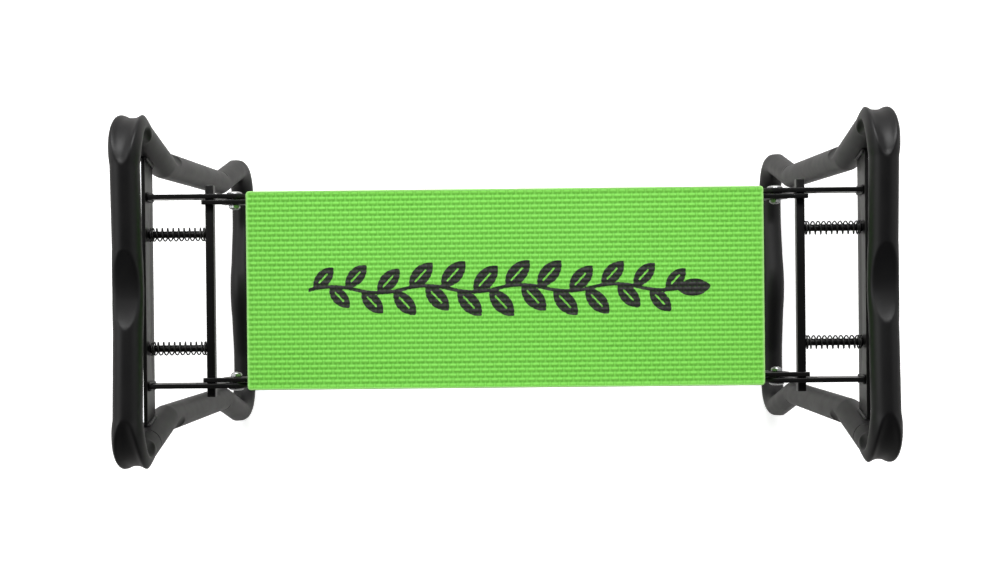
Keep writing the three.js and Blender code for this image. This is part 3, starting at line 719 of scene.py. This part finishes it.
def side_rail(word, way):
    right, left = ear(PRONG_X["right"]), ear(PRONG_X["left"])[::-1]
    outline = [(PIVOT_X + x, MID_Z + z) for x, z, _ in right]
    outline += [(-PIVOT_X - x, MID_Z + z) for x, z, _ in left]
    outline = fillet(outline, [row[2] for row in right + left], 5)
    holes = [circle(x, MID_Z, BORE_R) for x in (-PIVOT_X, PIVOT_X)]
    points, faces = plate(outline, holes, *RAIL_Y, bevel=0.35)
    name = f"side_rail_{word}"
    solid(f"{name}_formed", in_xz(points, 1, way), faces, BAR_PAINT, "seat", "bar_paint", name)


# ------------------------------------------------------------------ pivot bolts, washers, nuts

BOLT_R, BOLT_END = 2.5, 64.0         # shank, and the y where it ends inside the seat
HEAD_HIGH, HEAD_R, HEAD_TOP_R = 2.0, 6.0, 2.1
HEAD_RIM = 0.32                      # height at which the dome begins
SOCKET_FLATS = 3.0
THREAD_ROWS_END, THREAD_END = 68.6, 68.65
THREAD_PITCH, THREAD_DEEP = 0.8, 0.42
NUT_FLATS, NUT_HIGH = 8.0, 3.2
WASHER_R, WASHER_BEVEL = 6.0, 0.22


def hexagon(flats):
    """Radius of a hexagon as a function of the angle, from its width across flats."""
    def radius(a):
        k = (a + math.pi / 6) % (math.pi / 3) - math.pi / 6
        return flats / 2 / math.cos(k)
    return radius


def thread(r, y, a):
    if BOLT_END + 0.35 < y < THREAD_END:
        phase = (y / THREAD_PITCH - a / (2 * math.pi)) % 1.0
        tooth = abs(2 * phase - 1)
        return r - THREAD_DEEP * (1 - tooth) * min(1.0, (THREAD_END - y) / THREAD_PITCH)
    return r


def pivot_bolt(tag, x, way):
    head = ARM_Y[1] + GAP
    rows = [(BOLT_END, 0.0), (BOLT_END, BOLT_R - 0.75), (BOLT_END + 0.3, BOLT_R - 0.45)]
    y = BOLT_END + 0.4
    while y < THREAD_ROWS_END:
        rows.append((y, BOLT_R))
        y += 0.1
    rows += [
        (68.8, BOLT_R - 0.05), (69.0, BOLT_R), (head - 0.1, BOLT_R), (head, BOLT_R + 0.1),
        (head, 5.55), (head + 0.12, 5.88), (head + HEAD_RIM, HEAD_R),
    ]
    # domed head with a hexagon socket
    for k in range(1, 11):
        a = math.pi / 2 * k / 10
        height = head + HEAD_RIM + (HEAD_HIGH - HEAD_RIM) * math.sin(a) ** 0.9
        rows.append((height, HEAD_R - (HEAD_R - HEAD_TOP_R) * (1 - math.cos(a)) ** 0.9))
    socket = hexagon(SOCKET_FLATS)
    rows += [
        (head + HEAD_HIGH, lambda a: socket(a) + 0.12), (head + HEAD_HIGH - 0.12, socket),
        (head + 0.9, socket), (head + 0.7, 0.0),
    ]
    points, faces = lathe(rows, 48, modulation=thread)
    points = about_y(points, x, MID_Z, way)
    name = f"pivot_bolt_{tag}"
    solid(f"{name}_turned", points, faces, ZINC, "seat", "zinc_hardware", name, sharp=28.0)


def pivot_washer(tag, x, way):
    y0, y1 = RAIL_Y[1] + GAP, ARM_Y[0] - GAP
    outer, bore, b = WASHER_R, BORE_R, WASHER_BEVEL
    rows = [
        (y0, bore + b), (y0, outer - b), (y0 + b * 0.3, outer - b * 0.3), (y0 + b, outer),
        (y1 - b, outer), (y1 - b * 0.3, outer - b * 0.3), (y1, outer - b), (y1, bore + b),
        (y1 - b * 0.3, bore + b * 0.3), (y1 - b, bore), (y0 + b, bore),
        (y0 + b * 0.3, bore + b * 0.3),
    ]
    points, faces = lathe(rows, 56, closed=True)
    points = about_y(points, x, MID_Z, way)
    name = f"pivot_washer_{tag}"
    solid(f"{name}_pressed", points, faces, ZINC, "seat", "zinc_hardware", name, sharp=40.0)


def pivot_nut(tag, x, way):
    """Hexagon nut against the rail, with a round collar on the side away from it."""
    y1 = RAIL_Y[0] - GAP
    y0 = y1 - NUT_HIGH
    flat = hexagon(NUT_FLATS)

    def cut(limit):
        return lambda a: min(flat(a), limit)

    rows = [
        (y1, 2.62), (y1, 3.75), (y1 - 0.05, cut(3.92)), (y1 - 0.28, cut(4.35)), (y1 - 0.5, flat),
        (y0 + 1.3, flat), (y0 + 1.06, cut(4.35)), (y0 + 0.84, cut(3.95)), (y0 + 0.78, 3.7),
        (y0 + 0.48, 3.62), (y0 + 0.18, 3.45), (y0 + 0.03, 3.1), (y0, 2.9), (y0 + 0.12, 2.62),
    ]
    points, faces = lathe(rows, 72, closed=True)
    points = about_y(points, x, MID_Z, way)
    name = f"pivot_nut_{tag}"
    solid(f"{name}_hex", points, faces, ZINC, "seat", "zinc_hardware", name, sharp=26.0)


# ------------------------------------------------------------------ bent-tube leg loops

SEAM_Z = 421.0
FOOT_Z, FOOT_RISE, FOOT_FLAT_Y, FOOT_CORNER_Y = 10.82, 15.0, 66.0, 133.5
TOP_DIP = 8.0
TOP_CORNER_R, FOOT_CORNER_R, WAIST_TOP_R, WAIST_LOW_R = 24.0, 32.0, 14.0, 30.0
LEG_LEAN = (TOP_CORNER_Y - WAIST_TOP[0], TOP_Z - WAIST_TOP[1])   # waist to top corner: y, z


def leg_y(z):
    """Y of the tube's centreline above the waist."""
    return WAIST_TOP[0] + (z - WAIST_TOP[1]) * LEG_LEAN[0] / LEG_LEAN[1]


class Centreline:
    """Straight runs joined by arcs in the (y, z) plane."""

    def __init__(self, corners):
        self.runs, self.length, self.arc_middle = [], 0.0, {}
        places = [np.array(row[1:3], float) for row in corners]
        start = places[0]
        for i in range(1, len(places) - 1):
            name, _, _, radius = corners[i]
            into, onward = unit(places[i] - places[i - 1]), unit(places[i + 1] - places[i])
            turn = turn_between(into, onward)
            reach = radius * math.tan(abs(turn) / 2)
            enter = places[i] - into * reach
            self.add("line", float(np.linalg.norm(enter - start)), start=start, along=into)
            sign = math.copysign(1, turn)
            centre = enter + np.array([-into[1], into[0]]) * sign * radius
            begin = math.atan2(*(enter - centre)[::-1])
            long = radius * abs(turn)
            self.arc_middle[name] = self.length + long / 2
            self.add("arc", long, centre=centre, radius=radius, begin=begin, sign=sign)
            start = places[i] + onward * reach
        rest = places[-1] - start
        self.add("line", float(np.linalg.norm(rest)), start=start, along=unit(rest))

    def add(self, kind, long, **run):
        self.runs.append(dict(run, kind=kind, long=long, at=self.length))
        self.length += long

    def at(self, s):
        """Place and direction at a length s along the line."""
        run = [r for r in self.runs if s >= r["at"] - 1e-9][-1]
        d = s - run["at"]
        if run["kind"] == "line":
            return run["start"] + run["along"] * d, run["along"]
        a = run["begin"] + run["sign"] * d / run["radius"]
        place = run["centre"] + run["radius"] * np.array([math.cos(a), math.sin(a)])
        return place, np.array([-math.sin(a), math.cos(a)]) * run["sign"]


# name, y, z, bend radius; from the seam in the front leg up, over the top and round by the feet
LINE = Centreline([
    ("seam_start", -leg_y(SEAM_Z), SEAM_Z, 0),
    ("top_front", -TOP_CORNER_Y, TOP_Z, TOP_CORNER_R),
    ("top_middle", 0, TOP_Z - TOP_DIP, 120),
    ("top_rear", TOP_CORNER_Y, TOP_Z, TOP_CORNER_R),
    ("waist_top_rear", *WAIST_TOP, WAIST_TOP_R),
    ("waist_low_rear", *WAIST_LOW, WAIST_LOW_R),
    ("foot_rear", FOOT_CORNER_Y, FOOT_Z, FOOT_CORNER_R),
    ("foot_flat_rear", FOOT_FLAT_Y, FOOT_Z, 60),
    ("foot_middle", 0, FOOT_Z + FOOT_RISE, 80),
    ("foot_flat_front", -FOOT_FLAT_Y, FOOT_Z, 60),
    ("foot_front", -FOOT_CORNER_Y, FOOT_Z, FOOT_CORNER_R),
    ("waist_low_front", -WAIST_LOW[0], WAIST_LOW[1], WAIST_LOW_R),
    ("waist_top_front", -WAIST_TOP[0], WAIST_TOP[1], WAIST_TOP_R),
    ("seam_end", -leg_y(SEAM_Z - GAP), SEAM_Z - GAP, 0),
])

# Where the outer wall is pushed in at a bend: reach before and after its middle, half width as a
# share of the tube radius, depth, widening per mm of depth, height of the lips per mm of depth
DENTS = [(LINE.arc_middle[corner], *rest) for corner, *rest in (
    ("top_front", 34, 27, 0.80, 5.4, 0.026, 0.38),
    ("top_rear", 27, 34, 0.80, 5.4, 0.026, 0.38),
    ("top_middle", 28, 32, 0.90, 4.6, 0.012, 0.06),
    ("foot_rear", 30, 24, 0.80, 4.6, 0.012, 0.08),
    ("foot_front", 24, 30, 0.80, 4.6, 0.012, 0.08),
    ("foot_middle", 27, 27, 0.88, 3.4, 0.012, 0.06),
)]
# Where the wall has folded in on the flank towards the seat, just below a bend: shift from its
# middle, half length, half width, depth, and the direction it is pushed from (outwards, along x)
FOLDS = [(LINE.arc_middle[corner] + shift, *rest) for corner, shift, *rest in (
    ("top_front", -11.0, 22.0, 5.6, 4.4, -0.50, -0.866),
    ("top_rear", 11.0, 22.0, 5.6, 4.4, -0.50, -0.866),
    ("waist_top_rear", 13.0, 14.5, 6.6, 2.8, 0.62, -0.785),
    ("waist_top_front", -13.0, 14.5, 6.6, 2.8, 0.62, -0.785),
)]
# Creases on the inside of the waist bends: depth, curl across the tube
CREASES = [(LINE.arc_middle[corner], *rest) for corner, *rest in (
    ("waist_top_rear", 3.0, -0.075),
    ("waist_top_front", 3.0, 0.075),
    ("waist_low_rear", 0.8, 0.05),
    ("waist_low_front", 0.8, -0.05),
)]
# The groove of a crease and the ridge on each side of it: offset, share of the depth, half width
CREASE_WAVES = ((0.0, 1.0, 1.25), (-3.2, -0.32, 1.5), (3.2, -0.32, 1.5))
# Rounding of the tube's two ends: distance in from the end, loss of radius
END_ROUNDING = ((0.16, 0.95), (0.16, 0.34), (0.24, 0.12), (0.42, 0.02))
TUBE_SIDES = 72
TUBE_ANGLES = 2 * math.pi * (np.arange(TUBE_SIDES) + 0.5) / TUBE_SIDES


def soft_hump(across, half_width):
    """About 1 in the middle, falling softly to 0 beyond the half width."""
    k = 1 - (across / half_width) ** 2
    return 0.5 * (k + np.sqrt(k * k + 0.03))


def facing_share(toward):
    """0 on the far half of the tube, rising to 1 on the near side."""
    return np.clip(toward / (0.35 * TUBE_R), 0, 1)


def tube_ring(s, radius):
    """Points of the right-hand loop's section at length s, dented, folded and creased."""
    place, along = LINE.at(s)
    out_y, out_z = -along[1], along[0]
    out, x = radius * np.cos(TUBE_ANGLES), radius * np.sin(TUBE_ANGLES)
    for mid, before, after, wide, deep, widen, lift in DENTS:
        u = (s - mid) / (before if s < mid else after)
        if abs(u) >= 1:
            continue
        core = 1 - u * u
        w = wide * TUBE_R * core ** 0.55 + 0.4
        d = deep * core ** 0.75
        front = facing_share(out)
        out = out - d * soft_hump(x, w) * core ** 0.1 * front
        lip = np.exp(-(((np.abs(x) - w + 1.0) / 2.7) ** 2))
        out = out + lift * d * lip * front * core ** 0.4
        x = x * (1 + widen * d)
    for mid, half, wide, deep, from_out, from_x in FOLDS:
        u = (s - mid) / half
        if abs(u) >= 1:
            continue
        core = 1 - u * u
        w = wide * core ** 0.5 + 0.4
        facing, across = out * from_out + x * from_x, out * from_x - x * from_out
        push = deep * core ** 0.7 * soft_hump(across, w) * facing_share(facing)
        out, x = out - push * from_out, x - push * from_x
    for mid, deep, curl in CREASES:
        for offset, share, wide in CREASE_WAVES:
            u = (s - mid - offset + curl * x * x) / wide
            out = out - deep * share * np.exp(-u * u) * np.clip(out / (0.85 * TUBE_R), 0, 1)
    return np.stack([LOOP_X + x, place[0] + out_y * out, place[1] + out_z * out], 1)


def tube_stations():
    """Lengths at which the tube has a ring, closer together where it is shaped."""
    end = LINE.length
    close = set()
    for mid, before, after, *_ in DENTS:
        close |= set(np.arange(mid - before - 4, mid + after + 4, 1.5))
    for mid, *_ in CREASES:
        close |= set(np.arange(mid - 12, mid + 12, 0.55))
    for mid, half, *_ in FOLDS:
        close |= set(np.arange(mid - half - 1, mid + half + 1, 0.9))
    for run in LINE.runs:
        if run["kind"] == "arc":
            close |= set(np.arange(run["at"], run["at"] + run["long"], 1.4))
    stations = {0.6, end - 0.6}
    stations |= {round(float(s), 3) for s in close if 1.5 < s < end - 1.5}
    stations |= {round(float(s), 3) for s in np.arange(2.0, end - 1.0, 3.6)}
    first, *others = sorted(stations)
    kept = [first]
    for s in others:
        if s - kept[-1] > 0.5:
            kept.append(s)
    return kept


def leg_loop(side, way):
    """The bent tube. Its last ring is joined to its first, which closes the mesh at the seam."""
    rows = [(s, TUBE_R - less) for s, less in END_ROUNDING]
    rows += [(s, TUBE_R) for s in tube_stations()]
    rows += [(LINE.length - s, TUBE_R - less) for s, less in END_ROUNDING[::-1]]
    points = np.vstack([tube_ring(s, r) for s, r in rows]) * (way, 1, 1)
    faces = ring_faces(len(rows), TUBE_SIDES, True)
    name = f"{side}_leg_loop"
    solid(f"{name}_bent", points, faces, TUBE_PAINT, f"{side}_leg", "tube_paint", name, sharp=50.0)


# ------------------------------------------------------------------ crossbars, arms and welds

SLOT_PLAY_X, SLOT_PLAY_Z = 0.45, 0.4   # room round the latch bar in the arm's slot
WELD_PITCH = 1.7


def crossbar_reach(z):
    """Half length of the crossbar, which stops short of the leaning tube."""
    return leg_y(z) - (TUBE_R + 0.1) / math.cos(math.atan(LEG_LEAN[0] / LEG_LEAN[1])) - GAP


def crossbar(side, way):
    z0, z1 = CROSSBAR_Z
    y0, y1 = crossbar_reach(z0), crossbar_reach(z1)
    outline = fillet([(-y0, z0), (y0, z0), (y1, z1), (-y1, z1)], 0.6, 3)
    holes = [circle(y, MID_Z, ROD_R + GAP) for y in (-ROD_Y, ROD_Y)]
    points, faces = plate(outline, holes, *CROSSBAR_X, bevel=0.45)
    points = np.stack([way * points[:, 2], points[:, 0], points[:, 1]], 1)
    name = f"{side}_crossbar"
    solid(f"{name}_rounded", points, faces, BAR_PAINT, f"{side}_leg", "bar_paint", name)


def hinge_arm(side, way_x, word, way_y):
    """Plate from the pivot to the crossbar, slotted for the travel of the latch bar."""
    h, end = PLATE_HALF, CROSSBAR_X[0] - GAP
    outline = box_outline(PIVOT_X, end, MID_Z - h, MID_Z + h)
    for k in range(1, 28):
        a = math.pi / 2 + math.pi * k / 28
        outline.append((PIVOT_X + h * math.cos(a), MID_Z + h * math.sin(a)))
    outline = fillet(outline, [0, 0.4, 0.4, 0] + [0] * 27, 3)
    slot_half = LATCH_HALF_Z + SLOT_PLAY_Z
    slot = fillet(box_outline(
        LATCH_X[0] - SLOT_PLAY_X, LATCH_X[1] + LATCH_TRAVEL + SLOT_PLAY_X,
        MID_Z - slot_half, MID_Z + slot_half,
    ), 0.7, 4)
    points, faces = plate(outline, [circle(PIVOT_X, MID_Z, BORE_R), slot], *ARM_Y, bevel=0.4)
    points = in_xz(points, way_x, way_y)
    name = f"{side}_hinge_arm_{word}"
    solid(f"{name}_formed", points, faces, BAR_PAINT, f"{side}_leg", "bar_paint", name)


def weld_run(name, start, end, radius, body):
    """An upright run of weld between two points, with the ripples of the weld pool."""
    start, end = np.array(start, float), np.array(end, float)
    long = float(np.linalg.norm(end - start))
    count = max(12, int(long / 0.28))
    u = np.linspace(0, 1, count)
    path = start + (end - start) * u[:, None]
    waves = zip((7.1, 5.3, 6.2), start)
    path = path + np.stack([np.sin(rate * u + shift) for rate, shift in waves], 1) * 0.12
    tangent = unit_rows(np.gradient(path, axis=0))

    def bead(t):
        from_end = min(t, 1 - t) * long
        swell = 0.55 + 0.45 * math.sqrt(min(1.0, from_end / 1.6))
        phase = (t * long / WELD_PITCH) % 1.0
        uneven = 0.05 * math.sin(2.3 * t * long + start[1])
        return radius * swell * (1 + 0.13 * (1 - phase) ** 0.7 - 0.04 + uneven)

    across = unit(np.cross((1.0, 0.0, 0.0), tangent[0]))
    rings = []
    for k in range(count):
        across = unit(across - tangent[k] * (across @ tangent[k]))
        other = np.cross(tangent[k], across)
        rings.append(ring(path[k], across, other, bead(k / (count - 1)), 14))
    tips = path[0] - tangent[0] * 0.25, path[-1] + tangent[-1] * 0.25
    solid(name, *capped_tube(rings, *tips), WELD, body, "bar_paint", sharp=60.0)


def welds(side, way_x, word, way_y):
    body = f"{side}_leg"
    # arm to crossbar, on both faces of the arm
    x = way_x * (CROSSBAR_X[0] - 0.55)
    low, high = MID_Z - PLATE_HALF + 0.6, MID_Z + PLATE_HALF - 0.6
    for place, y in (("in", ARM_Y[0] - 0.5), ("out", ARM_Y[1] + 0.5)):
        start, end = (x, way_y * y, low), (x, way_y * y, high)
        weld_run(f"{side}_arm_weld_{word}_{place}", start, end, 1.35, body)
    # crossbar to tube, on both faces of the crossbar
    z0, z1 = CROSSBAR_Z
    y0, y1 = (way_y * (crossbar_reach(z) + 0.1) for z in (z0 + 1, z1 - 1))
    for place, x in (("in", CROSSBAR_X[0] - 0.35), ("out", CROSSBAR_X[1] + 0.35)):
        start, end = (way_x * x, y0, z0 + 0.8), (way_x * x, y1, z1 - 0.8)
        weld_run(f"{side}_bar_weld_{word}_{place}", start, end, 1.55, body)


# ------------------------------------------------------------------ latches and their springs

SPRING_R, WIRE_R = 5.0, 0.6
SPRING_TURNS = (1, 9, 2)             # close turns by the latch bar, open ones, close ones
TURN_STEPS, WIRE_SIDES = 30, 12


def latch_rod(side, way_x, word, way_y):
    start, r, end = LATCH_X[1] + GAP, ROD_R, ROD_END_X
    rows = [
        (start, 0.0), (start, r - 0.15), (start + 0.15, r), (end - 1.0, r),
        (end - 0.45, r - 0.25), (end - 0.1, r - 0.75), (end, r - 1.2), (end, 0.0),
    ]
    points, faces = lathe(rows, 40)
    x, y, z = way_x * points[:, 2], way_y * ROD_Y + points[:, 0], MID_Z + points[:, 1]
    points = np.stack([x, y, z], 1)
    name = f"{side}_latch_rod_{word}"
    body = f"{side}_latch"
    solid(f"{name}_turned", points, faces, BAR_PAINT, body, "bar_paint", name, sharp=28.0)


def latch_spring(side, way_x, word, way_y):
    """Coil round a latch rod, between the latch bar and the crossbar."""
    x0, x1 = LATCH_X[1] + GAP, CROSSBAR_X[0] - GAP
    free = x1 - x0
    close = 2 * WIRE_R + GAP
    advances = (close, free - 2 * WIRE_R - 3 * close, 2 * close)
    path = []
    for k in range(sum(SPRING_TURNS) * TURN_STEPS + 1):
        left, x = k / TURN_STEPS, x0 + WIRE_R
        for turns, advance in zip(SPRING_TURNS, advances):
            part = min(left, turns)
            x += advance * part / turns
            left -= part
        a = 2 * math.pi * k / TURN_STEPS
        path.append((x, SPRING_R * math.cos(a), SPRING_R * math.sin(a)))
    path = np.array(path)
    rings = []
    for place, along in zip(path, unit_rows(np.gradient(path, axis=0))):
        other = unit(np.cross(along, np.array([0, place[1], place[2]]) / SPRING_R))
        rings.append(ring(place, np.cross(other, along), other, WIRE_R, WIRE_SIDES))
    points, faces = capped_tube(rings, path[0], path[-1])
    x, y, z = points.T
    points = np.stack([way_x * x, way_y * ROD_Y + way_x * y, MID_Z + z], 1)
    name = f"{side}_latch_spring_{word}"
    body = f"{side}_leg"
    ob = solid(f"{name}_coiled", points, faces, WIRE, body, "spring_steel", name, sharp=60.0)
    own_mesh(ob)


def latch_bar(side, way):
    outline = fillet(box_outline(*LATCH_X, MID_Z - LATCH_HALF_Z, MID_Z + LATCH_HALF_Z), 0.9, 5)
    points, faces = plate(outline, [], -LATCH_HALF_Y, LATCH_HALF_Y, bevel=0.5)
    name = f"{side}_latch_bar"
    points = in_xz(points, way, 1)
    solid(f"{name}_rounded", points, faces, BAR_PAINT, f"{side}_latch", "bar_paint", name)


# ------------------------------------------------------------------ build the pieces

foam_pad("foam_pad_top_woven", "foam_pad_top", 1)
foam_pad("foam_pad_bottom_woven", "foam_pad_bottom", -1)

for flank in FLANKS:
    side_rail(*flank)

for side, way_x in ENDS:
    for word, way_y in FLANKS:
        for build in (pivot_bolt, pivot_washer, pivot_nut):
            build(f"{side}_{word}", way_x * PIVOT_X, way_y)

for end in ENDS:
    leg_loop(*end)
    crossbar(*end)
    for flank in FLANKS:
        for build in (hinge_arm, welds, latch_rod, latch_spring):
            build(*end, *flank)
    latch_bar(*end)

# looks of the pieces kept from the CAD part; the first matching prefix counts
KEPT_LOOKS = (("board_screw", ZINC), ("board_", BOARD), ("cross_member", BAR_PAINT))
for node, ob in NODES.items():
    look = next((mat for prefix, mat in KEPT_LOOKS if node.startswith(prefix)), None)
    if look:
        ob.data.materials.clear()
        ob.data.materials.append(look)

# ------------------------------------------------------------------ floor, light, camera

FLOOR_HALF, FLOOR_Z = 9.0, -0.0005   # metres, as is everything in this section
LIGHT_AIM = (0, 0, 0.4)


def floor_material():
    """White floor: brighter and glowing to the camera, duller to the other rays."""
    s = Shader("studio_white")
    seen = s.camera_ray()
    s.set("Base Color", s.mix(seen, low=(0.75, 0.735, 0.725), high=(0.95, 0.95, 0.95)))
    s.set("Roughness", 0.9)
    s.set("Specular IOR Level", 0.1)
    s.set("Emission Color", (1.0, 1.0, 1.0, 1.0))
    s.set("Emission Strength", s.calc("MULTIPLY", seen, 0.55))
    # seen from below the floor is clear, so that the underside can be looked at, and it fades
    # out well away from the seat, so that no horizon shows in a low view
    place = s.node("ShaderNodeNewGeometry")
    away = s.node("ShaderNodeVectorMath")
    away.operation = "LENGTH"
    s.plug(place.outputs["Position"], away.inputs[0])
    far = s.span(away.outputs["Value"], start=0.9, end=1.8, smooth=True)
    hidden = s.calc("MAXIMUM", place.outputs["Backfacing"], far)
    either = s.node("ShaderNodeMixShader")
    s.plug(s.calc("MULTIPLY", hidden, seen), either.inputs[0])
    s.plug(s.bsdf.outputs[0], either.inputs[1])
    s.plug(s.node("ShaderNodeBsdfTransparent").outputs[0], either.inputs[2])
    s.plug(either.outputs[0], s.out.inputs[0])
    return s.mat


def studio_floor():
    mesh = bpy.data.meshes.new("studio_floor")
    corners = box_outline(-FLOOR_HALF, FLOOR_HALF, -FLOOR_HALF, FLOOR_HALF)
    mesh.from_pydata([(x, y, FLOOR_Z) for x, y in corners], [], [(0, 1, 2, 3)])
    mesh.materials.append(floor_material())
    floor = bpy.data.objects.new("studio_floor", mesh)
    bpy.context.scene.collection.objects.link(floor)


def studio_world():
    world = bpy.data.worlds.new("studio_world")
    bpy.context.scene.world = world
    world.use_nodes = True
    w = Nodes(world.node_tree)
    direction = w.node("ShaderNodeSeparateXYZ")
    w.plug(w.node("ShaderNodeTexCoord").outputs["Generated"], direction.inputs[0])
    x, y, z = direction.outputs
    # bright at the horizon, dimmer overhead, brighter towards +Y and a little towards -X
    height = w.span(z, start=0.10, end=0.80, low=0.86, high=0.04)
    rear = w.span(y, start=-0.8, end=0.8, low=0.45, high=1.5)
    aside = w.span(x, start=-0.8, end=0.8, low=1.16, high=0.84)
    glow = w.calc("MULTIPLY", w.calc("MULTIPLY", height, rear), aside)
    # plain white wherever the camera sees it directly
    direct = w.calc("MULTIPLY", w.camera_ray(), 1.2)
    background = w.node("ShaderNodeBackground")
    w.plug((1, 1, 1, 1), background.inputs["Color"])
    w.plug(w.calc("MAXIMUM", glow, direct), background.inputs["Strength"])
    w.plug(background.outputs[0], w.node("ShaderNodeOutputWorld").inputs[0])


def softbox(name, place, width, height, power):
    data = bpy.data.lights.new(name, "AREA")
    data.shape = "RECTANGLE"
    data.size, data.size_y, data.energy = width, height, power
    ob = bpy.data.objects.new(name, data)
    ob.location = place
    aim = Vector(LIGHT_AIM) - Vector(place)
    ob.rotation_euler = aim.to_track_quat("-Z", "Y").to_euler()
    bpy.context.scene.collection.objects.link(ob)


def main_camera():
    """Looks down on the seat from above, turned slightly about each axis."""
    data = bpy.data.cameras.new("camera_main")
    data.sensor_fit = "HORIZONTAL"
    data.sensor_width = 36.0
    data.lens = 51.636084
    data.clip_start, data.clip_end = 0.05, 50.0
    camera = bpy.data.objects.new("camera_main", data)
    turn = Matrix.Rotation(0.00804, 4, "Y")
    turn = turn @ Matrix.Rotation(-0.0056, 4, "X") @ Matrix.Rotation(-0.01047, 4, "Z")
    camera.matrix_world = Matrix.Translation((0.005325, 0.001774, 1.53636)) @ turn
    bpy.context.scene.collection.objects.link(camera)
    bpy.context.scene.camera = camera


studio_floor()
studio_world()
softbox("softbox_rear", place=(0.0, 2.6, 2.7), width=3.2, height=1.4, power=146)
softbox("softbox_left", place=(-2.5, 0.7, 1.9), width=1.6, height=1.6, power=22)
softbox("softbox_right", place=(2.5, 0.7, 1.9), width=1.6, height=1.6, power=7)
main_camera()
bpy.context.scene.view_settings.view_transform = "Standard"
